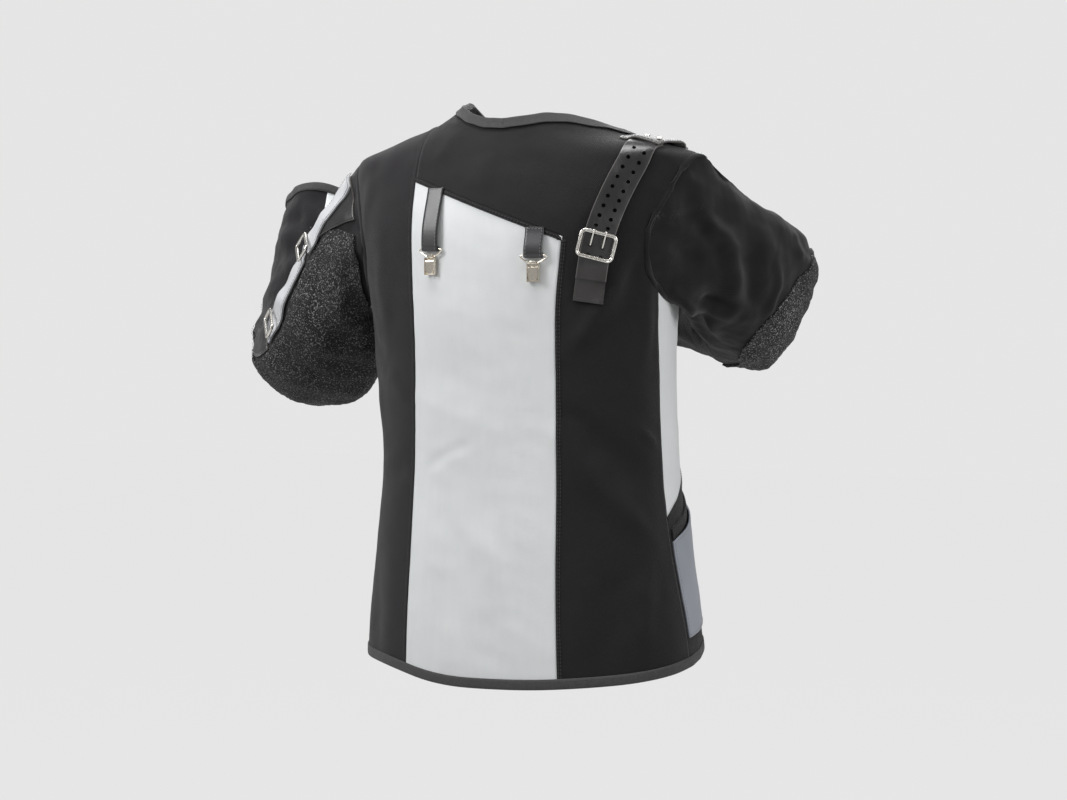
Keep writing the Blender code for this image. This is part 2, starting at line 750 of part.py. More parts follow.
def buildNeckTape(trees):
    """Tape round the neckline, from the right front edge over the back to the left front edge."""
    right, left = neckBack[0][0], neckBack[-1][0]
    front = [p for p in frontTop(False, frontEdgeX(False, neckFrontLow), rightColumns)
             if right - 1e-6 < p[0] < frontEdgeX(True, neckFrontLow) - 0.004]
    back = [p for p in yokeTop(yokeColumns) if right + 1e-6 < p[0] < left - 1e-6]
    over = [p for p in frontTop(True, frontEdgeX(True, neckFrontLow), leftColumns) if p[0] < left + 1e-6]
    over[-1] = tuple(0.60 * a + 0.40 * b for a, b in zip(over[-1], over[-2]))
    stations = [(x, z, False, False) for x, z in reversed(front)]
    stations += [(x, z, True, False) for x, z in reversed(back)]
    stations += [(x, z, False, True) for x, z in over]
    middle = 0.5 * (right + left)
    frames = []
    spots = []
    for x, z, back, onLeft in stations:
        u = angleOf(x, z, back, 1 if onLeft else -1)
        if onLeft and u < 0:
            u += 2 * math.pi
        normal = bodyNormal(u, z)
        lift = frontRise(u) if onLeft else 0.0
        frames.append((bodyPoint(u, z) + normal * lift, normal))
        spots.append((u, z))
    stations = []
    for i, (edge, normal) in enumerate(frames):
        before = frames[max(0, i - 1)][0]
        after = frames[min(len(frames) - 1, i + 1)][0]
        out = unit(np.cross(unit(after - before), normal))
        if out @ (np.array((middle, -0.02, 0.05)) - edge) < 0:
            out = -out
        rows = []
        for share in (1.0, 0.5):
            u, z = settle(edge - out * tapeDepth * share, *spots[i])
            way = bodyNormal(u, z)
            lift = frontRise(u) if spots[i][0] > math.pi / 2 else 0.0
            rows.append((seat(trees, bodyPoint(u, z) + way * lift, way, 0.0), way))
        stations.append((rows + [(edge, normal)], out))
    rings = [bentTapeRing(*stations[0])]
    for (rows0, out0), (rows1, out1) in zip(stations, stations[1:]):
        bend = math.acos(min(1.0, float(rows0[2][1] @ rows1[2][1])))
        parts = math.ceil(max(np.linalg.norm(rows1[2][0] - rows0[2][0]) / 0.018, bend / 0.22))
        for n in range(1, parts + 1):
            share = n / parts
            rows = []
            for (p0, n0), (p1, n1) in zip(rows0, rows1):
                way = unit(n0 + (n1 - n0) * share)
                place = p0 + (p1 - p0) * share
                rows.append((place if n == parts or len(rows) == 2 else seat(trees, place, way, 0.0), way))
            rings.append(bentTapeRing(rows, unit(out0 + (out1 - out0) * share)))
    loft("neck_binding", "edge_tape", rings, bentTapeCaps)


def outerTree(*names):
    """Trees for the outer faces of finished pieces."""
    trees = []
    for name in names:
        mesh = bpy.data.objects[name].data
        trees.append(BVHTree.FromPolygons([v.co for v in mesh.vertices], [tuple(p.vertices) for p in mesh.polygons]))
    return trees


def nearest(trees, point):
    """Nearest place on the outer faces of finished pieces, and the outward way there."""
    best = None
    for tree in trees:
        place, normal, _, distance = tree.find_nearest(Vector(point))
        if place is not None and (best is None or distance < best[2]):
            best = (np.array(place), np.array(normal), distance)
    return best[0], best[1]


def seat(trees, place, normal, lift):
    """Moves a place along its normal to lie a lift above the finished pieces under it."""
    hit = castOn(trees, place + normal * 0.02, -normal, 0.03)
    return (place if hit is None else hit) + normal * lift


def castOn(trees, start, direction, reach=0.1):
    """Where a ray from outside meets the finished pieces first."""
    best = None
    for tree in trees:
        place, _, _, distance = tree.ray_cast(Vector(start), Vector(direction), reach)
        if place is not None and (best is None or distance < best[1]):
            best = (np.array(place), distance)
    return best[0] if best else None


# ---------------------------------------------------------------- sleeves
class Arm:
    """Middle line and sections of one bent sleeve, from its armhole to its cuff."""

    def __init__(self, name):
        line = armLines[name]
        self.name = name
        self.left = name == "left"
        self.start = np.array(line["shoulder"])
        corner = np.array(line["elbow"])
        self.end = np.array(line["cuff"])
        self.out = unit(np.array(line["out"]))
        upper = unit(corner - self.start)
        fore = unit(self.end - corner)
        self.side = unit(np.cross(upper, fore))
        turn = math.acos(upper @ fore)
        radius = line["bendRadius"]
        back = radius * math.tan(turn / 2)
        self.bendIn = corner - upper * back
        self.bendOut = corner + fore * back
        towards = unit(np.cross(self.side, upper))
        self.pivot = self.bendIn + towards * radius
        self.upper, self.fore, self.turn, self.radius, self.towards = upper, fore, turn, radius, towards
        first = np.linalg.norm(self.bendIn - self.start) * 1.05
        lengths = (first, radius * turn, np.linalg.norm(self.end - self.bendOut))
        total = sum(lengths)
        self.marks = (lengths[0] / total, (lengths[0] + lengths[1]) / total)
        self.length = total
        up = np.array((0.0, 0.0, 1.0))
        e1, e2 = self.axes(self.out)
        self.topAngle = math.atan2(up @ e2, up @ e1)
        behind = np.array((0.0, 1.0, 0.0))
        backAngle = math.atan2(behind @ e2, behind @ e1)
        gap = (backAngle - self.topAngle + math.pi) % (2 * math.pi) - math.pi
        self.sense = 1 if gap > 0 else -1

    def middle(self, t):
        a, b = self.marks
        if t <= a:
            s = t / a
            reach = np.linalg.norm(self.bendIn - self.start)
            h00, h10 = (1 + 2 * s) * (1 - s) ** 2, s * (1 - s) ** 2
            h01, h11 = s * s * (3 - 2 * s), s * s * (s - 1)
            place = h00 * self.start + h10 * reach * self.out + h01 * self.bendIn + h11 * reach * self.upper
            d00, d10 = 6 * s * s - 6 * s, 3 * s * s - 4 * s + 1
            d01, d11 = -6 * s * s + 6 * s, 3 * s * s - 2 * s
            way = d00 * self.start + d10 * reach * self.out + d01 * self.bendIn + d11 * reach * self.upper
            return place, unit(way)
        if t <= b:
            turned = self.turn * (t - a) / (b - a)
            spoke = -self.towards * math.cos(turned) + self.upper * math.sin(turned)
            return self.pivot + spoke * self.radius, unit(self.upper * math.cos(turned) + self.towards * math.sin(turned))
        s = (t - b) / (1 - b)
        return self.bendOut + (self.end - self.bendOut) * s, self.fore

    def axes(self, way):
        """Outward from the bend, and across it."""
        e2 = unit(self.side - way * (self.side @ way))
        return unit(np.cross(way, e2)), e2

    def tube(self, psi, t):
        place, way = self.middle(t)
        e1, e2 = self.axes(way)
        r1 = lookup(armSections[self.name], t, 1)
        r2 = lookup(armSections[self.name], t, 2)
        power = 2 / armSquareness[self.name]
        c, s = math.cos(psi), math.sin(psi)
        c, s = math.copysign(abs(c) ** power, c), math.copysign(abs(s) ** power, s)
        if c < 0:
            r1 *= lookup(armInner[self.name], t)
        return place + e1 * r1 * c + e2 * r2 * s

    def point(self, psi, t):
        """Outer face of the sleeve."""
        base = self.tube(psi, t)
        if t >= blendShare:
            return base
        phi = self.sense * (psi - self.topAngle)
        u, z = armholePoint(self.left, phi)
        hole = bodyPoint(u, z) + bodyNormal(u, z) * seamGap
        weight = 1 - smooth(t / blendShare)
        return base + weight * (hole - self.tube(psi, 0.0))

    def normal(self, psi, t):
        step = 0.02
        low, high = max(0.0, t - 0.006), min(1.0, t + 0.006)
        across = self.point(psi + step, t) - self.point(psi - step, t)
        along = self.point(psi, high) - self.point(psi, low)
        normal = unit(np.cross(across, along))
        place = self.middle(t)[0]
        return normal if normal @ (self.point(psi, t) - place) > 0 else -normal

    def grid(self, psis, shares, lift=0.0, thickness=canvasThickness):
        outer = np.zeros((len(shares), len(psis), 3))
        inner = np.zeros_like(outer)
        for i, t in enumerate(shares):
            for j, psi in enumerate(psis):
                normal = self.normal(psi, t)
                outer[i, j] = self.point(psi, t) + normal * lift
                inner[i, j] = outer[i, j] - normal * thickness
        return outer, inner

    def psi(self, phi):
        return self.topAngle + self.sense * math.radians(phi)


def armShares(arm):
    a, b = arm.marks
    before = [sleeveGap / arm.length] + [a * (i / 8) ** 1.15 for i in range(1, 8)]
    bend = spaced(a, b, 8)
    after = spaced(b, 1.0, 5)[1:]
    return before + bend + after


def buildSleeve(arm):
    shares = armShares(arm)
    top, columns = armLines[arm.name]["topSeam"], armLines[arm.name]["backColumns"]
    under = top + 360 * columns / armColumns
    slip = math.degrees(halfSeam / 0.07)
    backPsis = [arm.psi(phi) for phi in spaced(top + slip, under - slip, columns + 1)]
    frontPsis = [arm.psi(phi) for phi in spaced(under + slip, top + 360 - slip, armColumns - columns + 1)]
    shell(f"sleeve_{arm.name}_back", "black_canvas", [arm.grid(backPsis, shares)])
    shell(f"sleeve_{arm.name}_front", "white_panel", [arm.grid(frontPsis, shares)])
    rings = []
    for psi in backPsis[:-1] + frontPsis[:-1]:
        edge = arm.point(psi, 1.0)
        before = arm.point(psi, shares[-2])
        way = unit(edge - before)
        rings.append(tapeRing(edge, edge - way * tapeDepth, arm.normal(psi, 1.0), way))
    loft(f"cuff_binding_{arm.name}", "edge_tape", rings, closed=True)


def armPsis(arm):
    """Angles of the sleeve's own columns, both halves, in order round it."""
    top = armLines[arm.name]["topSeam"]
    around = [arm.psi(top + 360 * i / armColumns) for i in range(armColumns)]
    return sorted((psi + math.pi) % (2 * math.pi) - math.pi for psi in around)


def overlay(name, finish, arm, gap, thickness, shares, angles, shareEdge=None, angleEdge=None):
    """A piece on the sleeve, over the sleeve's own points. shares and angles are its widest reach,
    shareEdge(psi) and angleEdge(t) give its edges where they slant."""
    trees = outerTree(f"sleeve_{arm.name}_back", f"sleeve_{arm.name}_front")
    ts = [shares[0]] + [t for t in armShares(arm) if shares[0] + 0.008 < t < shares[1] - 0.008] + [shares[1]]
    psis = [angles[0]] + [p for p in armPsis(arm) if angles[0] + 0.04 < p < angles[1] - 0.04] + [angles[1]]
    outer = np.zeros((len(ts), len(psis), 3))
    inner = np.zeros_like(outer)
    for i, row in enumerate(ts):
        for j, column in enumerate(psis):
            t, psi = row, column
            if shareEdge:
                low, high = shareEdge(psi)
                t = min(max(t, low), high)
            if angleEdge:
                low, high = angleEdge(t)
                psi = min(max(psi, low), high)
            normal = arm.normal(psi, t)
            inner[i, j] = seat(trees, arm.point(psi, t), normal, gap)
            outer[i, j] = inner[i, j] + normal * thickness
    return shell(name, finish, [(outer, inner)])


def tableEdges(table):
    """Both edges from a table whose two last columns are angles in degrees."""
    return lambda t: tuple(math.radians(lookup(table, t, c)) for c in (1, 2))


def buildPatches(right, left):
    reach = [math.radians(patchRight[k][0]) for k in (0, -1)]
    first = min(row[1] for row in patchRight)
    overlay("elbow_patch_right", "grip_rubber", right, patchGap, rubberThickness, (first, patchRightEnd), reach,
            shareEdge=lambda psi: (lookup(patchRight, math.degrees(psi)), patchRightEnd))
    edges = tableEdges(patchLeft)
    reach = (math.radians(min(r[1] for r in patchLeft)), math.radians(max(r[2] for r in patchLeft)))
    overlay("elbow_patch_left", "grip_rubber", left, 2.1 * patchGap, rubberThickness, (patchLeft[0][0], patchLeft[-1][0]),
            reach, angleEdge=edges)


# ---------------------------------------------------------------- what lies on the body
def settle(point, u, z):
    """The (angle, height) on the body nearest to a point, from a first guess."""
    for _ in range(6):
        miss = point - bodyPoint(u, z)
        du = (bodyPoint(u + 1e-4, z) - bodyPoint(u - 1e-4, z)) / 2e-4
        dz = (bodyPoint(u, z + 1e-5) - bodyPoint(u, z - 1e-5)) / 2e-5
        step = np.linalg.lstsq(np.stack([du, dz], 1), miss, rcond=None)[0]
        u += float(np.clip(step[0], -0.1, 0.1))
        z += float(np.clip(step[1], -0.01, 0.01))
    return u, z


def ribbonFrames(centres):
    """Place, way along, way across and outward at each (angle, height) of a path on the body."""
    places = [bodyPoint(*c) for c in centres]
    frames = []
    for i, c in enumerate(centres):
        way = unit(places[min(i + 1, len(places) - 1)] - places[max(i - 1, 0)])
        normal = bodyNormal(*c)
        way = unit(way - normal * (way @ normal))
        frames.append((places[i], way, np.cross(way, normal), normal))
    return frames


def ribbon(name, finish, centres, width, lifts, thickness, across=5):
    trees = outerTree("back_right_yoke", "front_right_upper")
    outer = np.zeros((len(centres), across, 3))
    inner = np.zeros_like(outer)
    for i, (place, _, side, _) in enumerate(ribbonFrames(centres)):
        for j, share in enumerate(spaced(-0.5, 0.5, across)):
            u, z = settle(place + side * share * width, *centres[i])
            normal = bodyNormal(u, z)
            inner[i, j] = seat(trees, bodyPoint(u, z), normal, lifts[i])
            outer[i, j] = inner[i, j] + normal * thickness
    return shell(name, finish, [(outer, inner)])


def surfaceAt(x, y):
    """(angle, height) on the shoulder above a place in plan."""
    low, high = -0.16, ridgeHeight(x)
    for _ in range(40):
        z = 0.5 * (low + high)
        reach = abs(bodyPoint(angleOf(x, z, y >= 0), z)[1])
        low, high = (z, high) if reach > abs(y) else (low, z)
    return angleOf(x, z, y >= 0), z


def rod(name, finish, points, radius, cyclic=False, sides=2):
    """A wire along points, round in section, with closed ends."""
    curve = bpy.data.curves.new(name, "CURVE")
    curve.dimensions = "3D"
    curve.bevel_depth = radius
    curve.bevel_resolution = sides
    curve.use_fill_caps = True
    spline = curve.splines.new("POLY")
    spline.points.add(len(points) - 1)
    for at, point in zip(spline.points, points):
        at.co = (*point, 1.0)
    spline.use_cyclic_u = cyclic
    item = bpy.data.objects.new(name, curve)
    jacket.objects.link(item)
    curve.materials.append(material(finish))
    return item


def roundedRectangle(width, height, radius, steps=4):
    """Corner points of a flat rounded rectangle round the origin."""
    points = []
    for turn, (sx, sy) in enumerate(((1, 1), (-1, 1), (-1, -1), (1, -1))):
        for i in range(steps):
            a = math.radians(90 * turn + 90 * i / (steps - 1))
            x = sx * (width / 2 - radius) + radius * math.cos(a)
            y = sy * (height / 2 - radius) + radius * math.sin(a)
            points.append((x, y))
    return points


def frameMatrix(place, across, along, outward):
    matrix = Matrix((across, along, outward)).transposed().to_4x4()
    matrix.translation = Vector(place)
    return matrix


def meshFrom(bm, name, finish, matrix=None, smoothAngle=40.0):
    if matrix is not None:
        bmesh.ops.transform(bm, matrix=matrix, verts=bm.verts)
    if matrix is not None and matrix.determinant() < 0:
        bmesh.ops.reverse_faces(bm, faces=bm.faces)
    mesh = bpy.data.meshes.new(name)
    bm.to_mesh(mesh)
    bm.free()
    return newObject(name, mesh, finish, smoothAngle)


def applied(item):
    """The object with its modifiers made part of its mesh."""
    evaluated = item.evaluated_get(bpy.context.evaluated_depsgraph_get())
    mesh = bpy.data.meshes.new_from_object(evaluated)
    item.modifiers.clear()
    item.data = mesh
    return item


def cut(item, cutter, operation="DIFFERENCE"):
    step = item.modifiers.new("cut", "BOOLEAN")
    step.operation = operation
    step.solver = "EXACT"
    step.object = cutter
    bpy.context.view_layer.update()
    applied(item)
    bpy.data.objects.remove(cutter, do_unlink=True)
    return item


def cylinder(bm, radius, length, matrix, sides=12):
    """Adds a closed cylinder along the matrix's Z."""
    bmesh.ops.create_cone(bm, cap_ends=True, segments=sides, radius1=radius, radius2=radius, depth=length,
                          matrix=matrix)


def helper(name, bm, matrix):
    """A cutter or a half of a union, outside the jacket's collection."""
    bmesh.ops.transform(bm, matrix=matrix, verts=bm.verts)
    mesh = bpy.data.meshes.new(name)
    bm.to_mesh(mesh)
    bm.free()
    item = bpy.data.objects.new(name, mesh)
    cutters.objects.link(item)
    item.hide_render = True
    item.display_type = "WIRE"
    return item


def strapCentre(z):
    return angleOf(lookup(strapLine, z), z), z


def strapLift(z):
    return patchGap + strapRise * smooth((-0.132 - z) / 0.018)


def holePlace(row, sign):
    """Middle of a hole at the strap's underside, with its ways across, along and outward."""
    z = firstHole + holeSpacing * row
    place, way, side, normal = ribbonFrames([strapCentre(z - 0.004), strapCentre(z), strapCentre(z + 0.004)])[1]
    u, z = settle(place + side * holeOffset * sign, *strapCentre(z))
    return bodyPoint(u, z) + bodyNormal(u, z) * strapLift(z), side, way, normal


def buildShoulderStrap():
    heights = spaced(strapEnd, -0.070, 16)
    centres = [strapCentre(z) for z in heights]
    ridgeX = lookup(strapLine, -0.070)
    y = bodyPoint(*centres[-1])[1]
    centres += [surfaceAt(ridgeX - 0.005 * i / 4, y + (0.036 - y) * i / 4) for i in range(1, 5)]
    lifts = [strapLift(c[1]) + 0.0013 * smooth((c[1] + 0.082) / 0.012) for c in centres]
    strap = ribbon("shoulder_strap", "black_leather", centres, strapWidth, lifts, leatherThickness)
    bm = bmesh.new()
    for row in range(-2, holePairs):
        for sign in (-1, 1):
            at, side, way, normal = holePlace(row, sign)
            cylinder(bm, holeRadius, 0.012, frameMatrix(at, side, way, normal), 8)
    cut(strap, helper("strap_holes", bm, Matrix.Identity(4)))
    base = [strapCentre(z) for z in spaced(strapBaseEnd, strapBaseTop, 9)]
    ribbon("strap_base", "black_leather", base, strapWidth * 0.97, [patchGap] * 9, leatherThickness)
    buildBuckle()


def buildBuckle():
    z = buckleHeight
    place, way, side, normal = ribbonFrames([strapCentre(z - 0.006), strapCentre(z), strapCentre(z + 0.006)])[1]
    top = strapLift(z) + leatherThickness
    height = top + 0.0004 + wireRadius
    matrix = frameMatrix(place + normal * height, side, way, normal)
    corners = [matrix @ Vector((x, y, 0)) for x, y in roundedRectangle(*(b - 2 * wireRadius for b in buckleSize), 0.006)]
    rod("buckle_frame", "nickel", corners, wireRadius, cyclic=True)
    barY = buckleSize[1] / 2 - wireRadius
    over = wireRadius + prongRadius + 0.0004
    for n, sign in ((1, -1), (2, 1)):
        x, y, up = matrix.inverted() @ Vector(holePlace(-2, sign)[0])
        up += leatherThickness
        path = ((x, y, up - 0.0010), (x, y + 0.0003, up + 0.0012), (x, y + 0.0014, up + 0.0022),
                (x, barY, over), (x, barY + 0.0026, over - 0.0006))
        rod(f"buckle_prong_{n}", "nickel", [matrix @ Vector(p) for p in path], prongRadius)


def buildAnchor():
    trees = outerTree("back_right_yoke", "front_right_upper")
    cols = 11
    ways = spaced(anchorReach[0], 0.0, 8) + spaced(0.0, anchorReach[1], 5)[1:]
    outer = np.zeros((len(ways), cols, 3))
    inner = np.zeros_like(outer)
    for i, y in enumerate(ways):
        for j, x in enumerate(spaced(anchorSpan[0], anchorSpan[1] + 0.30 * abs(y), cols)):
            middle = lookup(strapLine, -0.056) - 0.004
            bump = 1 - smooth((abs(x - middle) - 0.021) / 0.012)
            bump *= smooth((y + 0.008) / 0.014)
            u, z = surfaceAt(x, y if abs(y) > 1e-6 else 1e-6)
            normal = bodyNormal(u, z)
            inner[i, j] = seat(trees, bodyPoint(u, z), normal, patchGap + (leatherThickness + 0.0028) * bump)
            outer[i, j] = inner[i, j] + normal * 0.0022
    shell("strap_anchor", "black_leather", [(outer, inner)])
    tree = outerTree("strap_anchor")
    for n, x in ((1, -0.168), (2, -0.184)):
        u, z = surfaceAt(x, 0.033)
        normal = bodyNormal(u, z)
        start = bodyPoint(u, z) + normal * 0.03
        place = castOn(tree, start, -normal)
        side = unit(np.cross(normal, (0, 0, 1)))
        bm = bmesh.new()
        matrix = frameMatrix(place + normal * 0.0011, side, np.cross(normal, side), normal)
        bmesh.ops.create_cone(bm, cap_ends=True, segments=12, radius1=0.0036, radius2=0.0022, depth=0.0014)
        meshFrom(bm, f"strap_rivet_{n}", "nickel", matrix)


def buildPocket():
    trees = outerTree("front_right_upper", "front_right_lower", "back_right_yoke")
    rows, cols = 9, 10
    outer = np.zeros((rows, cols, 3))
    inner = np.zeros_like(outer)
    for j in range(cols):
        s = j / (cols - 1)
        for i in range(rows):
            t = i / (rows - 1)
            z = -0.6
            for _ in range(4):
                u0 = sideAngle(rightSideSeam, z, -0.004)
                u = u0 + (math.radians(pocketFar) - u0) * s
                low = pocketBottom + 0.020 * s
                mouth = lookup(pocketMouth, math.degrees(u)) - 0.006
                z = low + (mouth - low) * t
            fill = math.sin(math.pi * s) ** 0.7 * (0.25 + 0.75 * t) * smooth(t * 3)
            normal = bodyNormal(u, z)
            inner[i, j] = seat(trees, bodyPoint(u, z), normal, patchGap + 0.0045 * fill)
            outer[i, j] = inner[i, j] + normal * 0.0016
    shell("pocket_right", "blue_grey_panel", [(outer, inner)])
    rows = 4
    outer = np.zeros((rows, cols, 3))
    inner = np.zeros_like(outer)
    for j in range(cols):
        s = j / (cols - 1)
        for i in range(rows):
            z = -0.5
            for _ in range(4):
                u0 = sideAngle(rightSideSeam, z, -0.004)
                u = u0 + (math.radians(pocketFar) - u0) * s
                z = lookup(pocketMouth, math.degrees(u)) - 0.0035 + 0.0125 * i / (rows - 1)
            normal = bodyNormal(u, z)
            inner[i, j] = seat(trees, bodyPoint(u, z), normal, patchGap)
            outer[i, j] = inner[i, j] + normal * 0.0022
    shell("pocket_welt", "black_canvas", [(outer, inner)])


def buildButtons():
    for n, z in enumerate(buttonHeights, 1):
        u = math.radians(buttonAngle)
        normal = bodyNormal(u, z)
        side = unit(np.cross((0, 0, 1), normal))
        place = bodyPoint(u, z) + normal * (frontRise(u) + seamGap + buttonThickness / 2)
        bm = bmesh.new()
        cylinder(bm, buttonRadius, buttonThickness, frameMatrix(place, side, np.cross(normal, side), normal), 16)
        meshFrom(bm, f"button_{n}", "plain_button")


# ---------------------------------------------------------------- hanging straps and clips
def clipFrame(name):
    """Middle of the bar that the clip swings on, with the ways across, down and outward."""
    x, low = hangers[name]
    u = angleOf(x, low)
    normal = bodyNormal(u, low)
    outward = unit(np.array((normal[0], normal[1], 0.0)))
    down = np.array((0.0, 0.0, -1.0))
    across = np.cross(down, outward)
    ring = barRadius + 0.0004 + hangerThickness / 2
    face = bodyPoint(u, low) + outward * (layGap + hangerRise + hangerThickness / 2)
    return face - outward * ring, across, down, outward, ring


def buildHanger(name):
    bar, across, down, outward, ring = clipFrame(name)
    x, low = hangers[name]
    top = whiteTop(x) - 0.0010
    half = hangerWidth / 2
    rows = []
    count = 7
    for i in range(count):
        t = i / (count - 1)
        z = top + (low + 0.002 - top) * t
        lift = layGap + hangerRise * smooth(t * 1.15) + hangerThickness / 2
        base = bodyPoint(angleOf(x, z), z)
        straight = bar + outward * ring - down * (z - bar[2])
        place = base + outward * lift
        rows.append(place + (straight - place) * smooth((t - 0.55) / 0.45))
    normals = [outward] * count
    for i in range(1, 9):
        a = math.radians(295) * i / 8
        spoke = outward * math.cos(a) + down * math.sin(a)
        rows.append(bar + spoke * ring)
        normals.append(spoke)
    outer = np.zeros((len(rows), 2, 3))
    inner = np.zeros_like(outer)
    for i, (place, normal) in enumerate(zip(rows, normals)):
        for j, sign in enumerate((-1, 1)):
            outer[i, j] = place + across * half * sign + normal * hangerThickness / 2
            inner[i, j] = place + across * half * sign - normal * hangerThickness / 2
    shell(f"hanger_{name}", "black_leather", [(outer, inner)])


def buildClip(name):
    bar, across, down, outward, ring = clipFrame(name)
    frame = frameMatrix(bar, across, down, outward)  # x across, y down, z outward
    loopHalf = hangerWidth / 2 + 0.0006 + barRadius
    neck, drop = 0.0050, loopDrop
    corners = ((-loopHalf, 0.0), (loopHalf, 0.0), (loopHalf, 0.0048), (neck, drop), (-neck, drop), (-loopHalf, 0.0048))
    rod(f"clip_loop_{name}", "nickel", [frame @ Vector((a, b, 0.0)) for a, b in corners], barRadius, cyclic=True)
    # the clip's plate with two ears, open in front
    plateZ = -barRadius - 0.0004 - clipPlate / 2
    top = drop + barRadius + 0.0006
    bm = bmesh.new()
    half = clipWidth / 2
    profile = [(-half, 0), (half, 0), (half, earHeight), (half - clipPlate, earHeight), (half - clipPlate, clipPlate),
               (clipPlate - half, clipPlate), (clipPlate - half, earHeight), (-half, earHeight)]
    low = [bm.verts.new((a, top, plateZ - clipPlate / 2 + b)) for a, b in profile]
    face = bm.faces.new(low)
    grown = bmesh.ops.extrude_face_region(bm, geom=[face])
    bmesh.ops.translate(bm, vec=(0, clipHeight, 0), verts=[v for v in grown["geom"] if isinstance(v, bmesh.types.BMVert)])
    bmesh.ops.recalc_face_normals(bm, faces=bm.faces)
    body = meshFrom(bm, f"clip_body_{name}", "nickel", frame)
    # its tongue folds over the loop's lower bar
    back, front = -barRadius - 0.0004, barRadius + 0.0004
    fold = drop - barRadius - 0.0004
    inset = 0.0001
    shape = [(top + 0.0015, back - clipPlate + inset), (fold - clipPlate, back - clipPlate + inset),
             (fold - clipPlate, front + clipPlate), (drop + 0.0006, front + clipPlate), (drop + 0.0006, front),
             (fold, front), (fold, back - inset), (top + 0.0015, back - inset)]
    tongue = bmesh.new()
    side = [tongue.verts.new((-tongueHalf, b, c)) for b, c in shape]
    grown = bmesh.ops.extrude_face_region(tongue, geom=[tongue.faces.new(side)])
    bmesh.ops.translate(tongue, vec=(2 * tongueHalf, 0, 0), verts=[v for v in grown["geom"] if isinstance(v, bmesh.types.BMVert)])
    bmesh.ops.recalc_face_normals(tongue, faces=tongue.faces)
    cut(body, helper("tongue", tongue, frame), "UNION")
    pinY, pinZ = pinPlace()
    across90 = Matrix.Rotation(math.radians(90), 4, "Y")
    hole = bmesh.new()
    cylinder(hole, pinRadius + 0.0003, clipWidth * 1.4, Matrix.Translation((0, pinY, pinZ)) @ across90, 10)
    cut(body, helper("pin_hole", hole, frame))
    # the lever turns on its pin between the ears
    inside = half - clipPlate - 0.0003
    bm = bmesh.new()
    cylinder(bm, barrelRadius, 2 * inside, Matrix.Translation((0, pinY, pinZ)) @ across90, 12)
    lever = meshFrom(bm, f"clip_lever_{name}", "nickel", frame)
    pin = bmesh.new()
    cylinder(pin, pinRadius, clipWidth + 0.0008, Matrix.Translation((0, pinY, pinZ)) @ across90, 8)
    cut(lever, helper("pin", pin, frame), "UNION")
    plate = bmesh.new()
    thick = 0.0011
    outline = [(-inside, 0.0), (inside, 0.0)]
    outline += [(inside * math.cos(a), leverLength - inside + inside * math.sin(a))
                for a in (math.radians(d) for d in (0, 30, 60, 90, 120, 150, 180))]
    ringVerts = [plate.verts.new((a, pinY + b, pinZ + barrelRadius - thick)) for a, b in outline]
    grown = bmesh.ops.extrude_face_region(plate, geom=[plate.faces.new(ringVerts)])
    bmesh.ops.translate(plate, vec=(0, 0, thick), verts=[v for v in grown["geom"] if isinstance(v, bmesh.types.BMVert)])
    bmesh.ops.recalc_face_normals(plate, faces=plate.faces)
    cut(lever, helper("lever_plate", plate, frame), "UNION")


def pinPlace():
    """Pin's place below the bar and outward from it."""
    return loopDrop + 0.0062, -barRadius + barrelRadius


# ---------------------------------------------------------------- straps on the left arm
def buildArmStraps(arm):
    reach = (math.radians(min(r[1] for r in armBaseEdges)), math.radians(max(r[2] for r in armBaseEdges)))
    overlay("arm_strap_base", "black_leather", arm, patchGap, 0.0022, (armBaseEdges[0][0], armBaseEdges[-1][0]), reach,
            angleEdge=tableEdges(armBaseEdges))
    above = patchGap + 0.0022 + 0.0007

    def strapEdges(t):
        psi = math.radians(lookup(armStrapAngle, t))
        radius = np.linalg.norm(arm.point(psi, t) - arm.middle(t)[0])
        return psi - armStrapWidth / 2 / radius, psi + armStrapWidth / 2 / radius

    for part, shares in (("upper", armStrapUpper), ("lower", armStrapLower)):
        ends = [strapEdges(t) for t in shares]
        reach = (min(e[0] for e in ends), max(e[1] for e in ends))
        overlay(f"arm_strap_{part}", "pale_leather", arm, above, 0.0024, shares, reach, angleEdge=strapEdges)
    for part, t, size in (("upper", 0.175, (0.0400, 0.0270)), ("lower", 0.385, (0.0400, 0.0240))):
        psi = math.radians(lookup(armStrapAngle, t))
        normal = arm.normal(psi, t)
        way = unit(arm.point(psi, t + 0.01) - arm.point(psi, t - 0.01))
        way = unit(way - normal * (way @ normal))
        side = np.cross(way, normal)
        place = arm.point(psi, t) + normal * (above + 0.0024 + 0.0022 + wireRadius)
        matrix = frameMatrix(place, side, way, normal)
        inner_size = [v - 2 * wireRadius for v in size]
        rod(f"arm_buckle_{part}", "nickel", [matrix @ Vector((x, y, 0)) for x, y in roundedRectangle(*inner_size, 0.005)],
            wireRadius, cyclic=True)
    reach = (math.radians(min(r[1] for r in elbowTabEdges)), math.radians(max(r[2] for r in elbowTabEdges)))
    overlay("elbow_tab", "black_leather", arm, patchGap, 0.0022, (elbowTabEdges[0][0], elbowTabEdges[-1][0]), reach,
            angleEdge=tableEdges(elbowTabEdges))


jacket = None
cutters = None


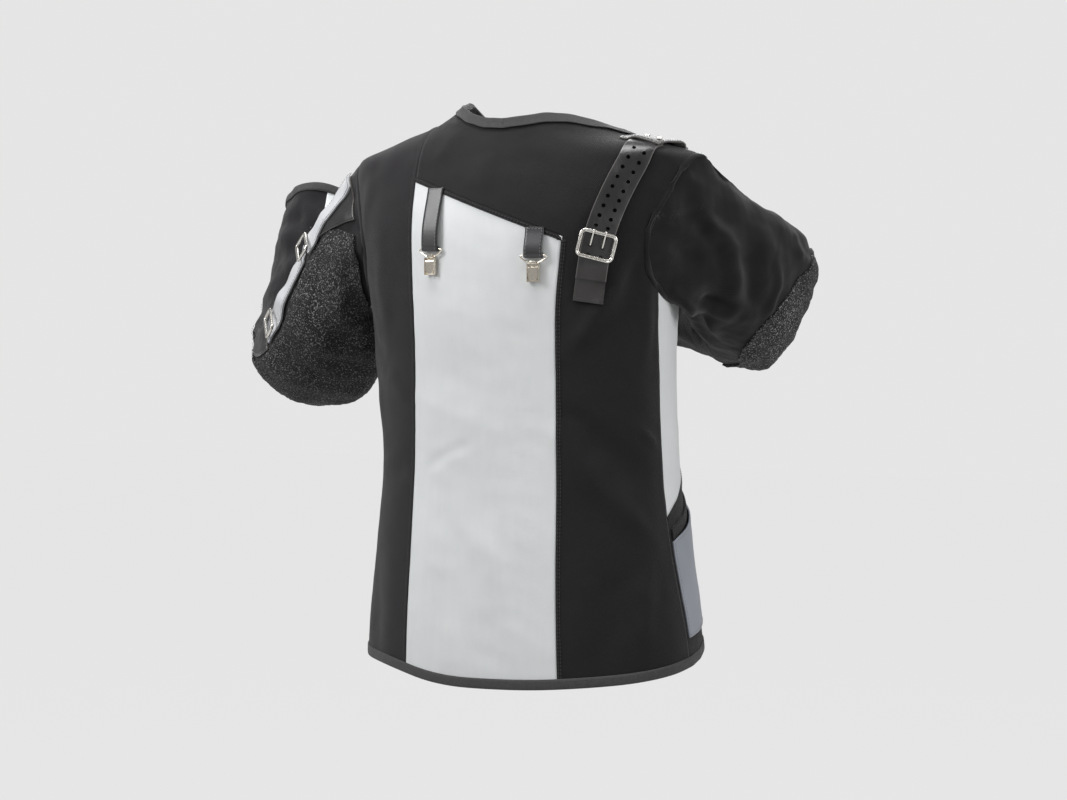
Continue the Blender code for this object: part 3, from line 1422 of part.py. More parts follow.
def main():
    global jacket, cutters
    clear()
    jacket = collection("shooting_jacket")
    cutters = collection("cutters")
    backLeft = buildBackLeft()
    backCentre = buildBackCentre()
    yokeLower, yokeUpper = buildBackRightYoke()
    leftLower, leftUpper = buildFrontLeft()
    rightLower, rightUpper = buildFrontRight()
    buildHemTape([(backLeft, False), (backCentre, False), (yokeLower, False), (leftLower, True), (rightLower, False)])
    buildNeckTape(outerTree("back_right_yoke", "front_left", "front_right_upper"))
    right, left = Arm("right"), Arm("left")
    buildSleeve(right)
    buildSleeve(left)
    buildPatches(right, left)
    buildPocket()
    buildButtons()
    buildShoulderStrap()
    buildAnchor()
    for name in hangers:
        buildHanger(name)
        buildClip(name)
    buildArmStraps(left)


main()
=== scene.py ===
import json
import math

import bmesh
import bpy
import numpy as np
from mathutils import Matrix, Vector, kdtree
from mathutils.bvhtree import BVHTree

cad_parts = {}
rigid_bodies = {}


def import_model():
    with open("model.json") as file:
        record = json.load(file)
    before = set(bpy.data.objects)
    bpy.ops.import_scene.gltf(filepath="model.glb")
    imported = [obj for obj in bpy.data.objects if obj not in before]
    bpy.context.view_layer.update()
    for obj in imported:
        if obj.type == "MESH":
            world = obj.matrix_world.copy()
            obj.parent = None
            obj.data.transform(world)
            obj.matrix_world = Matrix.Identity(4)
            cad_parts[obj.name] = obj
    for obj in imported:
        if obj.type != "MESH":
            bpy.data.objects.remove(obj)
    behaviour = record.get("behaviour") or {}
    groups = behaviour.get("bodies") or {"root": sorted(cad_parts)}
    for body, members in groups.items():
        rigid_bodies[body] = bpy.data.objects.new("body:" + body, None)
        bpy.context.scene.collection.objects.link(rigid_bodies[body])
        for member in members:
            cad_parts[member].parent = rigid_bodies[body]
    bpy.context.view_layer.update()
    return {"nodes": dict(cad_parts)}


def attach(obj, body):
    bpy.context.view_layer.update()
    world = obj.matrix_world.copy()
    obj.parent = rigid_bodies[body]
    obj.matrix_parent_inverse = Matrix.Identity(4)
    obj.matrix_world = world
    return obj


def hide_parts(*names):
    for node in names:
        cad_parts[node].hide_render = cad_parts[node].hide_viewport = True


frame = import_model()
nodes = frame["nodes"]
print("frame loaded")


# ---- view and light
view = {"azimuth": 207.0, "elevation": 3.0, "aim": (0.0, 0.0, -0.364), "distance": 2.8, "lens": 75.6}
light = {
    "backdrop": 0.785,  # brightness of the floor and of what lies behind it
    "surround": 0.32,
    "overhead": 34.0,
    "key": 46.0,
    "fill": 28.0,
    "behind": 30.0,
    "floor": -1.25,
}


def wayFrom(azimuth, elevation):
    a, e = math.radians(azimuth), math.radians(elevation)
    return Vector((math.sin(a) * math.cos(e), -math.cos(a) * math.cos(e), math.sin(e)))


def placeCamera():
    back = wayFrom(view["azimuth"], view["elevation"])
    lens = bpy.data.cameras.new("camera")
    lens.lens = view["lens"]
    lens.sensor_width = 36.0
    lens.clip_start = 0.05
    camera = bpy.data.objects.new("camera", lens)
    bpy.context.scene.collection.objects.link(camera)
    camera.location = Vector(view["aim"]) + back * view["distance"]
    camera.rotation_mode = "QUATERNION"
    camera.rotation_quaternion = (-back).to_track_quat("-Z", "Y")
    bpy.context.scene.camera = camera


def softBox(name, azimuth, elevation, distance, size, power):
    lamp = bpy.data.lights.new(name, "AREA")
    lamp.shape = "RECTANGLE"
    lamp.size, lamp.size_y = size
    lamp.energy = power
    box = bpy.data.objects.new(name, lamp)
    bpy.context.scene.collection.objects.link(box)
    way = wayFrom(azimuth, elevation)
    box.location = Vector(view["aim"]) + way * distance
    box.rotation_mode = "QUATERNION"
    box.rotation_quaternion = way.to_track_quat("Z", "Y")


def lightStage():
    softBox("overhead", 182, 78, 2.2, (1.3, 0.9), light["overhead"])
    softBox("key", 140, 35, 2.6, (0.9, 1.4), light["key"])
    softBox("fill", 262, 20, 2.6, (0.8, 1.6), light["fill"])
    softBox("behind", 28, 40, 2.6, (2.0, 1.2), light["behind"])
    world = bpy.data.worlds.new("surround")
    bpy.context.scene.world = world
    world.use_nodes = True
    tree = world.node_tree
    seen = tree.nodes["Background"]
    seen.inputs["Color"].default_value = (*[light["backdrop"]] * 3, 1.0)
    around = tree.nodes.new("ShaderNodeBackground")
    around.inputs["Color"].default_value = (*[light["surround"]] * 3, 1.0)
    path = tree.nodes.new("ShaderNodeLightPath")
    mix = tree.nodes.new("ShaderNodeMixShader")
    tree.links.new(path.outputs["Is Camera Ray"], mix.inputs["Fac"])
    tree.links.new(around.outputs[0], mix.inputs[1])
    tree.links.new(seen.outputs[0], mix.inputs[2])
    tree.links.new(mix.outputs[0], tree.nodes["World Output"].inputs["Surface"])
    bpy.context.scene.view_settings.view_transform = "Standard"


placeCamera()
lightStage()


# ---- shaders: a wrapped socket that adds Math nodes, and a material that makes every other node
class Shade:
    def __init__(self, finish, socket):
        self.finish = finish
        self.socket = socket

    def math(self, operation, *others, turned=False):
        values = [self, *others]
        if turned:
            values.reverse()
        made = self.finish.node("ShaderNodeMath", {"operation": operation}, dict(enumerate(values)))
        return Shade(self.finish, made.outputs[0])

    def __add__(self, other):
        return self.math("ADD", other)

    def __sub__(self, other):
        return self.math("SUBTRACT", other)

    def __rsub__(self, other):
        return self.math("SUBTRACT", other, turned=True)

    def __mul__(self, other):
        return self.math("MULTIPLY", other)

    def __pow__(self, other):
        return self.math("POWER", other)

    __radd__ = __add__
    __rmul__ = __mul__

    def sine(self):
        return self.math("SINE")

    def between(self, low, high, start=0.0, end=1.0):
        made = self.finish.node(
            "ShaderNodeMapRange", {"interpolation_type": "SMOOTHSTEP"}, {0: self, 1: low, 2: high, 3: start, 4: end})
        return Shade(self.finish, made.outputs[0])


class Finish:
    def __init__(self, name, **constants):
        self.material = bpy.data.materials.new(name)
        self.material.use_nodes = True
        self.tree = self.material.node_tree
        self.shader = self.tree.nodes["Principled BSDF"]
        for socket, value in constants.items():
            self.shader.inputs[socket.replace("_", " ")].default_value = value

    def node(self, kind, settings, values):
        made = self.tree.nodes.new(kind)
        for key, value in settings.items():
            setattr(made, key, value)
        for key, value in values.items():
            self.set(made.inputs[key], value)
        return made

    def set(self, socket, value):
        if isinstance(value, Shade):
            self.tree.links.new(value.socket, socket)
        else:
            socket.default_value = value

    def place(self, stretch=(1.0, 1.0, 1.0)):
        spot = self.node("ShaderNodeTexCoord", {}, {})
        made = self.node("ShaderNodeVectorMath", {"operation": "MULTIPLY"}, {0: Shade(self, spot.outputs["Object"]), 1: stretch})
        return Shade(self, made.outputs[0])

    def grain(self):
        spot = self.node("ShaderNodeUVMap", {"uv_map": "grain"}, {})
        parts = self.node("ShaderNodeSeparateXYZ", {}, {0: Shade(self, spot.outputs[0])})
        return Shade(self, parts.outputs[0]), Shade(self, parts.outputs[1])

    def edge(self):  # metres from the piece's outer edge
        return Shade(self, self.node("ShaderNodeAttribute", {"attribute_name": "edge"}, {}).outputs["Fac"])

    def height(self):
        parts = self.node("ShaderNodeSeparateXYZ", {}, {0: self.place()})
        return Shade(self, parts.outputs[2])

    def noise(self, scale, detail=2.0, rough=0.5, stretch=(1.0, 1.0, 1.0)):
        made = self.node("ShaderNodeTexNoise", {}, {"Vector": self.place(stretch), "Scale": scale, "Detail": detail,
                                                    "Roughness": rough})
        return Shade(self, made.outputs[0])

    def cells(self, scale, feature="F1", stretch=(1.0, 1.0, 1.0)):
        made = self.node("ShaderNodeTexVoronoi", {"feature": feature}, {"Vector": self.place(stretch), "Scale": scale})
        return Shade(self, made.outputs["Distance"])

    def mix(self, share, low, high):
        low, high = [c if isinstance(c, Shade) else (*c, 1.0) for c in (low, high)]
        made = self.node("ShaderNodeMix", {"data_type": "RGBA"}, {0: share, 6: low, 7: high})
        return Shade(self, made.outputs[2])

    def bump(self, height, distance, strength=1.0, under=None):
        values = {"Height": height, "Distance": distance, "Strength": strength}
        if under:
            values["Normal"] = under
        return Shade(self, self.node("ShaderNodeBump", {}, values).outputs[0])

    def wear(self, **sockets):
        for socket, value in sockets.items():
            self.set(self.shader.inputs[socket.replace("_", " ")], value)
        return self.material


def weave(finish, pitch):
    u, v = finish.grain()
    turns = 2 * math.pi / pitch
    over = (u * turns).sine() * (v * turns).sine()
    twill = ((u + v) * (turns * 0.5)).sine()
    return over * 0.6 + twill * 0.4


canvasLook = {"dark": (0.0042, 0.0036, 0.0044), "worn": (0.0125, 0.0108, 0.0128), "pitch": 0.0013}
whiteLook = {"low": (0.735, 0.755, 0.765), "high": (0.800, 0.815, 0.820), "pitch": 0.0011}
blueLook = {"low": (0.245, 0.262, 0.300), "high": (0.300, 0.318, 0.362), "pitch": 0.0010}
tapeLook = {"dark": (0.034, 0.033, 0.034), "light": (0.062, 0.060, 0.061), "rib": 0.0016}
rubberLook = {"dark": (0.0060, 0.0060, 0.0065), "body": (0.040, 0.040, 0.041), "fleck": (0.50, 0.50, 0.49), "grain": 420.0}
# rim: lighter edge colour, real edge paint on cut edges and painted glints round the shoulder strap's holes
leatherLook = {"dark": (0.0090, 0.0084, 0.0088), "worn": (0.0260, 0.0240, 0.0240), "rim": (0.12, 0.112, 0.105), "pores": 900.0}
# painted shade: the hanger straps are darker near their edges than on the face between them
clipStrapLook = {"dark": (0.0070, 0.0070, 0.0080), "face": (0.021, 0.021, 0.024)}
# painted reflection: the arm straps' black leather is coloured light grey all over, for the light it reflects
paintedReflectionLook = {"low": (0.52, 0.53, 0.55), "high": (0.68, 0.69, 0.70), "line": (0.11, 0.11, 0.115)}
tailLook = {"low": (0.020, 0.017, 0.016), "high": (0.032, 0.028, 0.026), "from": -0.196}
nickelLook = {"bright": (0.80, 0.78, 0.74), "dull": (0.55, 0.52, 0.47)}


def canvasFinish(name, gain=1.0):
    made = Finish(name, Specular_IOR_Level=0.20, Sheen_Weight=0.17, Sheen_Roughness=0.50)
    dark = [c * gain for c in canvasLook["dark"]]
    worn = [c * gain for c in canvasLook["worn"]]
    lint = made.noise(310.0, 3.0, 0.65).between(0.25, 0.80)
    cloud = made.noise(14.0, 2.0, 0.5).between(0.10, 0.90)
    thread = weave(made, canvasLook["pitch"])
    share = lint * 0.55 + cloud * 0.22 + thread * 0.10
    ground = made.bump(made.noise(420.0, 2.0, 0.6), 0.0004, 0.55)
    return made.wear(Base_Color=made.mix(share, dark, worn), Roughness=lint * 0.12 + 0.80,
                     Normal=made.bump(thread, 0.00022, 0.8, ground))


def whiteFinish(name, gain=1.0):
    made = Finish(name, Specular_IOR_Level=0.14, Sheen_Weight=0.04, Sheen_Roughness=0.5)
    thread = weave(made, whiteLook["pitch"])
    cloud = made.noise(9.0, 2.0, 0.5).between(0.05, 0.95)
    slub = made.noise(95.0, 2.0, 0.6, (1.0, 1.0, 0.22)).between(0.35, 0.70)
    low = [c * gain for c in whiteLook["low"]]
    high = [c * gain for c in whiteLook["high"]]
    ground = made.bump(made.noise(160.0, 3.0, 0.6), 0.0005, 0.30)
    return made.wear(Base_Color=made.mix(cloud * 0.55 + slub * 0.25 + thread * 0.08 + 0.1, low, high),
                     Roughness=cloud * 0.10 + 0.70, Normal=made.bump(thread, 0.00016, 0.7, ground))


def blueFinish(name):
    made = Finish(name, Specular_IOR_Level=0.45, Sheen_Weight=0.05)
    thread = weave(made, blueLook["pitch"])
    cloud = made.noise(14.0, 2.0, 0.5).between(0.10, 0.90)
    ground = made.bump(made.noise(150.0, 2.0, 0.6), 0.0005, 0.25)
    return made.wear(Base_Color=made.mix(cloud * 0.7 + thread * 0.10 + 0.1, blueLook["low"], blueLook["high"]),
                     Roughness=cloud * 0.12 + 0.46, Normal=made.bump(thread, 0.00014, 0.6, ground))


def tapeFinish(name):
    made = Finish(name, Specular_IOR_Level=0.35, Sheen_Weight=0.12)
    u, v = made.grain()
    turns = 2 * math.pi / tapeLook["rib"]
    rib = ((u + v) * turns).sine() * 0.5 + ((u - v) * turns).sine() * 0.5
    lint = made.noise(240.0, 3.0, 0.65).between(0.30, 0.75)
    return made.wear(Base_Color=made.mix(lint * 0.7 + rib * 0.2 + 0.1, tapeLook["dark"], tapeLook["light"]),
                     Roughness=lint * 0.12 + 0.66, Normal=made.bump(rib, 0.00025, 0.9))


def rubberFinish(name, gain=1.0):
    made = Finish(name, Specular_IOR_Level=0.42)
    grit = made.cells(rubberLook["grain"])
    crumb = made.noise(rubberLook["grain"] * 1.1, 2.0, 0.7)
    cloud = made.noise(30.0, 3.0, 0.6).between(0.3, 0.75)
    top = (1.0 - grit).between(0.42, 0.95)
    fleck = crumb.between(0.535, 0.64) * (cloud * 0.6 + 0.4)
    body = made.mix(top * 0.75 + crumb.between(0.4, 0.7) * 0.25, rubberLook["dark"], [c * gain for c in rubberLook["body"]])
    colour = made.mix(fleck * 0.75, body, [c * gain**0.5 for c in rubberLook["fleck"]])
    deep = made.bump(top, 0.0014, 1.0)
    return made.wear(Base_Color=colour, Roughness=fleck.between(0.0, 1.0, 0.86, 0.55),
                     Normal=made.bump(crumb, 0.0007, 0.8, deep))


def leatherFinish(name, low, high, roughness=0.36, line=None, rim=None, face=None, tail=None):
    made = Finish(name, Specular_IOR_Level=0.62, Coat_Weight=0.22, Coat_Roughness=0.30)
    pores = made.cells(leatherLook["pores"], "SMOOTH_F1")
    crease = made.noise(140.0, 4.0, 0.65)
    scuff = made.noise(48.0, 4.0, 0.7, (1.0, 1.0, 0.4)).between(0.42, 0.85)
    colour = made.mix(scuff * 0.8, low, high)
    depth = pores
    edge = made.edge()
    if tail:  # the worn end below the buckle
        worn = made.mix(scuff, tail["low"], tail["high"])
        colour = made.mix(made.height().between(tail["from"] - 0.003, tail["from"] + 0.003, 1.0, 0.0), colour, worn)
    # painted shade: the colour stays dark within 2 mm of the edge and turns to the lighter face colour inside
    if face:
        colour = made.mix(edge.between(0.0018, 0.0027), colour, face)
    if line:  # the seam runs in a groove along the edge
        groove = edge.between(0.0016, 0.0022) * edge.between(0.0028, 0.0034, 1.0, 0.0)
        colour = made.mix(groove * 0.8, colour, line)
        depth = pores - groove * 3.0
    # lighter within 1.2 mm of an edge: real edge paint on cut edges, and painted glints where the edge is a hole's rim
    if rim:
        colour = made.mix(edge.between(0.0006, 0.0012, 0.75, 0.0), colour, rim)
    ground = made.bump(crease, 0.0006, 0.35)
    return made.wear(Base_Color=colour, Roughness=scuff * 0.18 + crease * 0.10 + (roughness - 0.05),
                     Normal=made.bump(depth, 0.00022, 0.6, ground))


def nickelFinish(name, bright=None, dull=None):
    made = Finish(name, Specular_IOR_Level=0.5)
    smudge = made.noise(190.0, 3.0, 0.6).between(0.38, 0.74)
    line = made.noise(900.0, 2.0, 0.5, (0.15, 1.0, 1.0))
    return made.wear(Base_Color=made.mix(smudge, bright or nickelLook["bright"], dull or nickelLook["dull"]), Metallic=1.0,
                     Roughness=smudge * 0.12 + 0.17, Normal=made.bump(line, 0.00008, 0.4))


def threadFinish(name, low, high):
    made = Finish(name, Specular_IOR_Level=0.4, Sheen_Weight=0.2)
    ply = made.noise(1500.0, 1.0, 0.5).between(0.35, 0.70)
    return made.wear(Base_Color=made.mix(ply, low, high), Roughness=ply * 0.2 + 0.6, Normal=made.bump(ply, 0.00010, 0.8))


def buttonFinish(name):
    made = Finish(name, Specular_IOR_Level=0.5, Coat_Weight=0.3, Coat_Roughness=0.15)
    swirl = made.noise(120.0, 4.0, 0.6, (1.0, 1.0, 0.3)).between(0.35, 0.70)
    return made.wear(Base_Color=made.mix(swirl, (0.012, 0.012, 0.013), (0.040, 0.039, 0.042)), Roughness=swirl * 0.15 + 0.28,
                     Normal=made.bump(swirl, 0.0001, 0.3))


finishes = {
    "black_canvas": canvasFinish("blackCanvas"),
    # painted light: the black canvas made 1.35 times brighter for the left back and left sleeve, where more light falls
    "painted_light_canvas": canvasFinish("paintedLightCanvas", 1.35),
    "canvas_back": canvasFinish("canvasReverse", 0.9),
    "white_panel": whiteFinish("whiteCloth", 0.93),
    "white_back": whiteFinish("whiteReverse", 0.72),
    "blue_grey_panel": blueFinish("blueGreyCloth"),
    "edge_tape": tapeFinish("edgeTape"),
    "grip_rubber": rubberFinish("gripRubber"),
    # painted shade: the left elbow patch's rubber is the grip rubber at 0.42 of its brightness, for the shade it lies
    # in
    "painted_shade_rubber": rubberFinish("paintedShadeRubber", 0.42),
    "black_leather": leatherFinish("blackLeather", leatherLook["dark"], leatherLook["worn"], 0.38, rim=leatherLook["rim"]),
    "strap_leather": leatherFinish("strapLeather", leatherLook["dark"], leatherLook["worn"], 0.33, rim=leatherLook["rim"],
                                   tail=tailLook),
    "base_leather": leatherFinish("baseLeather", tailLook["low"], tailLook["high"], 0.45, rim=leatherLook["dark"]),
    "clip_leather": leatherFinish("clipStrapLeather", clipStrapLook["dark"], clipStrapLook["dark"], 0.34,
                                  face=clipStrapLook["face"]),
    # painted reflection on the black leather of the arm straps
    "pale_leather": leatherFinish("paintedReflectionLeather", paintedReflectionLook["low"], paintedReflectionLook["high"], 0.44, line=paintedReflectionLook["line"]),
    "nickel": nickelFinish("nickel"),
    "clip_nickel": nickelFinish("clipNickel", (0.86, 0.80, 0.70), (0.66, 0.60, 0.50)),
    "plain_button": buttonFinish("plainButton"),
    "black_thread": threadFinish("blackThread", (0.016, 0.015, 0.016), (0.045, 0.043, 0.045)),
    "grey_thread": threadFinish("greyThread", (0.16, 0.16, 0.165), (0.26, 0.26, 0.27)),
    "white_thread": threadFinish("whiteThread", (0.58, 0.59, 0.60), (0.72, 0.73, 0.74)),
}
print("finishes made")


# ---- the form each piece lies on: the trunk's axis and the two bent arms
armLines = {
    "right": ((-0.188, 0.000, -0.148), (-0.2143, -0.1095, -0.1967), (-0.2225, -0.1663, -0.2217), (-0.2157, -0.1962, -0.2311),
              (-0.1975, -0.2222, -0.2355), (-0.1709, -0.2403, -0.2345), (-0.1145, -0.2714, -0.2295), (-0.030, -0.318, -0.222)),
    "left": ((0.205, 0.005, -0.150), (0.2757, -0.0195, -0.2253), (0.3173, -0.0414, -0.2801), (0.3419, -0.0536, -0.3041),
             (0.3704, -0.0754, -0.3126), (0.3947, -0.1011, -0.3019), (0.4075, -0.1231, -0.2752), (0.424, -0.205, -0.108)),
}
onArm = {
    "right": ("sleeve_right_back", "sleeve_right_front", "elbow_patch_right", "cuff_binding_right"),
    "left": ("sleeve_left_back", "sleeve_left_front", "elbow_patch_left", "cuff_binding_left", "arm_strap_base",
             "arm_strap_upper", "arm_strap_lower", "elbow_tab"),
}


def armOf(name):
    return next((arm for arm, names in onArm.items() if name in names), None)


def onLine(points, line):
    # nearest place on a bent line: the place, and how far along it is
    line = np.array(line, float)
    best = np.full(len(points), 1e9)
    place = np.zeros((len(points), 3))
    along = np.zeros(len(points))
    done = 0.0
    for a, b in zip(line[:-1], line[1:]):
        span = b - a
        length = np.linalg.norm(span)
        t = np.clip((points - a) @ span / length**2, 0, 1)
        spot = a + t[:, None] * span
        gap = np.linalg.norm(points - spot, axis=1)
        closer = gap < best
        best[closer], place[closer], along[closer] = gap[closer], spot[closer], (done + t * length)[closer]
        done += length
    return place, along, best


def spine(points, arm):
    if arm:
        return onLine(points, armLines[arm])[0]
    return np.stack([np.zeros(len(points)), np.zeros(len(points)), np.minimum(points[:, 2], -0.11)], 1)


def coordsOf(mesh):
    flat = np.zeros(len(mesh.vertices) * 3, np.float32)
    mesh.vertices.foreach_get("co", flat)
    return flat.reshape(-1, 3).astype(float)


def setCoords(mesh, points):
    mesh.vertices.foreach_set("co", np.ascontiguousarray(points, np.float32).ravel())
    mesh.update()


def linked(name, mesh):
    item = bpy.data.objects.new(name, mesh)
    bpy.context.scene.collection.objects.link(item)
    return item


def evaluated(item):
    bpy.context.view_layer.update()
    return bpy.data.meshes.new_from_object(item.evaluated_get(bpy.context.evaluated_depsgraph_get()))


# The solid's own form in fine quads: its vertices stay on the surface, its corners stay sharp.
# Faces get 0 on the outer side, 1 on the inner side and 2 on the edges.
def formed(name, source, level, corner=52.0):
    bm = bmesh.new()
    bm.from_mesh(nodes[source].data)
    bmesh.ops.remove_doubles(bm, verts=bm.verts, dist=2e-5)
    bmesh.ops.join_triangles(bm, faces=bm.faces[:], angle_face_threshold=math.radians(40),
                             angle_shape_threshold=math.radians(55))
    sharp = bm.edges.layers.float.get("crease_edge") or bm.edges.layers.float.new("crease_edge")
    for edge in bm.edges:
        if len(edge.link_faces) == 2 and edge.calc_face_angle() > math.radians(corner):
            edge[sharp] = 1.0
    groups, seen = [], set()
    for face in bm.faces:
        if face in seen:
            continue
        group, queue = [], [face]
        seen.add(face)
        while queue:
            one = queue.pop()
            group.append(one)
            for edge in one.edges:
                for other in edge.link_faces if edge[sharp] < 0.5 else ():
                    if other not in seen:
                        seen.add(other)
                        queue.append(other)
        groups.append(group)
    groups.sort(key=lambda g: -sum(f.calc_area() for f in g))
    arm = armOf(source)

    def outward(group):
        middles = np.array([f.calc_center_median() for f in group])
        away = middles - spine(middles, arm)
        return sum(f.calc_area() * float(f.normal @ Vector(w)) for f, w in zip(group, away))

    for face in bm.faces:
        face.material_index = 2
        face.smooth = True
    if len(groups) > 1:
        ranked = sorted(groups[:2], key=outward)
        for n, group in enumerate(reversed(ranked)):
            for face in group:
                face.material_index = n
    else:
        for face in groups[0]:
            face.material_index = 0
    mesh = bpy.data.meshes.new(name)
    bm.to_mesh(mesh)
    bm.free()
    for _ in range(3):  # without slots the sides' numbers would be lost
        mesh.materials.append(None)
    item = linked(name, mesh)
    step = item.modifiers.new("form", "SUBSURF")
    step.levels = step.render_levels = 1
    step.use_limit_surface = True
    wanted = coordsOf(mesh)
    moved = wanted.copy()
    for _ in range(3):
        trial = evaluated(item)
        moved += wanted - coordsOf(trial)[: len(wanted)]
        bpy.data.meshes.remove(trial)
        setCoords(mesh, moved)
    step.levels = step.render_levels = level
    fine = evaluated(item)
    item.modifiers.clear()
    item.data = fine
    fine.name = name
    return item


def faceArrays(mesh):
    count = len(mesh.polygons)
    normals = np.zeros(count * 3, np.float32)
    areas = np.zeros(count, np.float32)
    index = np.zeros(count, np.int32)
    totals = np.zeros(count, np.int32)
    mesh.polygons.foreach_get("normal", normals)
    mesh.polygons.foreach_get("area", areas)
    mesh.polygons.foreach_get("material_index", index)
    mesh.polygons.foreach_get("loop_total", totals)
    corners = np.zeros(len(mesh.loops), np.int32)
    mesh.loops.foreach_get("vertex_index", corners)
    return normals.reshape(-1, 3), areas, index, np.repeat(np.arange(count), totals), corners


def outerSkin(mesh):
    # vertices of the outer side with its own normals, and those on its border
    normals, areas, index, owner, corners = faceArrays(mesh)
    sums = np.zeros((len(mesh.vertices), 3))
    keep = index[owner] == 0
    np.add.at(sums, corners[keep], normals[owner[keep]] * areas[owner[keep]][:, None])
    length = np.linalg.norm(sums, axis=1)
    outer = np.where(length > 1e-12)[0]
    ways = sums[outer] / length[outer][:, None]
    edge = np.intersect1d(outer, corners[index[owner] == 2])
    return outer, ways, edge


# ---- creases: paths over the cloth with their rise, a minus for a trough, and half width
bodyCreases = (
    # right back, below the strap's end
    (((-0.1621, 0.0719, -0.1865), (-0.1447, 0.0825, -0.2246),
      (-0.1225, 0.0947, -0.2652), (-0.0960, 0.1042, -0.3058)), 0.0042, 0.013),
    (((-0.1737, 0.0609, -0.1789), (-0.1642, 0.0642, -0.2297), (-0.1540, 0.0724, -0.2703)), -0.0026, 0.016),
    (((-0.186, 0.045, -0.205), (-0.182, 0.045, -0.250), (-0.178, 0.048, -0.320)), 0.0022, 0.010),
    (((-0.0939, 0.1044, -0.3671), (-0.1366, 0.0861, -0.4078)), -0.0022, 0.012),
    (((-0.1136, 0.0976, -0.3873), (-0.1575, 0.0710, -0.4336), (-0.1826, 0.0384, -0.4585)), -0.0034, 0.020),
    (((-0.0919, 0.1057, -0.4029), (-0.1237, 0.0947, -0.4483),
      (-0.1593, 0.0753, -0.4896), (-0.1885, 0.0454, -0.5298)), 0.0038, 0.016),
    (((-0.1642, 0.0610, -0.3931), (-0.1814, 0.0301, -0.4099)), 0.0024, 0.006),
    (((-0.1816, 0.0617, -0.5514), (-0.1850, 0.0700, -0.6100), (-0.1874, 0.0738, -0.6622)), 0.0030, 0.013),
    (((-0.1539, 0.0869, -0.5550), (-0.1493, 0.1009, -0.6715)), -0.0028, 0.020),
    (((-0.110, 0.107, -0.520), (-0.121, 0.106, -0.600), (-0.127, 0.108, -0.680)), 0.0018, 0.022),
    # white middle
    (((0.1000, 0.1050, -0.4413), (0.0707, 0.1126, -0.4338), (0.0207, 0.1170, -0.4057)), -0.0010, 0.007),
    (((0.1000, 0.1035, -0.3618), (0.0450, 0.1130, -0.3740), (-0.0023, 0.1171, -0.3894)), 0.0008, 0.020),
    (((0.0248, 0.1207, -0.5148), (-0.0239, 0.1242, -0.5740)), 0.0010, 0.017),
    (((0.0760, 0.1135, -0.4817), (0.0360, 0.1231, -0.5680)), -0.0008, 0.020),
    (((0.0450, 0.1152, -0.2100), (0.0328, 0.1162, -0.3282)), 0.0008, 0.026),
    (((-0.0211, 0.1192, -0.2454), (-0.0146, 0.1172, -0.4099)), -0.0008, 0.026),
    (((0.0524, 0.1247, -0.6202), (0.0472, 0.1282, -0.6950)), 0.0012, 0.018),
    (((-0.0069, 0.1262, -0.6063), (-0.0127, 0.1296, -0.6953)), -0.0011, 0.018),
    # left back
    (((0.1690, 0.0754, -0.3319), (0.1166, 0.1010, -0.3567)), 0.0018, 0.012),
    (((0.1739, 0.0681, -0.4621), (0.1244, 0.0980, -0.4479)), -0.0018, 0.014),
    (((0.1701, 0.0869, -0.1496), (0.1604, 0.0847, -0.2890)), 0.0020, 0.016),
    (((0.1850, 0.0600, -0.5300), (0.1780, 0.0850, -0.6900)), -0.0026, 0.022),
    (((0.2100, 0.0350, -0.2300), (0.1900, 0.0550, -0.2900), (0.1650, 0.0800, -0.3150)), -0.0030, 0.014),
    (((0.2050, 0.0200, -0.2600), (0.1950, 0.0400, -0.3500), (0.1800, 0.0630, -0.4100)), 0.0030, 0.015),
    # yoke
    (((0.0113, 0.0909, -0.0587), (0.0192, 0.1096, -0.1110)), 0.0012, 0.020),
    (((-0.0376, 0.0831, -0.0452), (-0.0700, 0.0980, -0.0900), (-0.0942, 0.1054, -0.1329)), -0.0016, 0.018),
    (((0.0600, 0.0700, -0.0350), (0.0900, 0.0850, -0.0700)), 0.0012, 0.014),
    (((0.1500, 0.0450, -0.0450), (0.1900, 0.0600, -0.0950), (0.2100, 0.0600, -0.1500)), 0.0022, 0.014),
    # front, as uneven as the back
    (((0.1950, -0.0600, -0.2400), (0.1500, -0.1000, -0.3000), (0.0900, -0.1200, -0.3500)), 0.0038, 0.014),
    (((0.2050, -0.0500, -0.2700), (0.1700, -0.0900, -0.3500), (0.1250, -0.1120, -0.4150)), -0.0030, 0.017),
    (((0.1700, -0.0850, -0.4700), (0.1150, -0.1150, -0.5100), (0.0600, -0.1280, -0.5300)), 0.0026, 0.016),
    (((0.1450, -0.1100, -0.5600), (0.1400, -0.1180, -0.6650)), -0.0030, 0.020),
    (((0.0750, -0.1300, -0.5800), (0.0700, -0.1380, -0.6650)), 0.0022, 0.020),
    (((-0.1500, -0.0900, -0.2450), (-0.1100, -0.1130, -0.3050), (-0.0600, -0.1250, -0.3350)), 0.0032, 0.013),
    (((-0.1600, -0.0850, -0.2900), (-0.1250, -0.1080, -0.3600), (-0.0850, -0.1200, -0.4200)), -0.0028, 0.016),
    (((-0.0500, -0.1300, -0.4600), (-0.1100, -0.1180, -0.4900)), 0.0016, 0.014),
    (((-0.0650, -0.1350, -0.5500), (-0.0700, -0.1400, -0.6550)), -0.0022, 0.018),
    (((0.1350, -0.0600, -0.0700), (0.1500, -0.0850, -0.1300), (0.1600, -0.0950, -0.2000)), -0.0026, 0.014),
    (((-0.1400, -0.0550, -0.0700), (-0.1350, -0.0850, -0.1300), (-0.1400, -0.0950, -0.1900)), -0.0022, 0.014),
    (((0.1000, -0.0700, -0.0650), (0.1080, -0.1000, -0.1300)), 0.0020, 0.014),
)
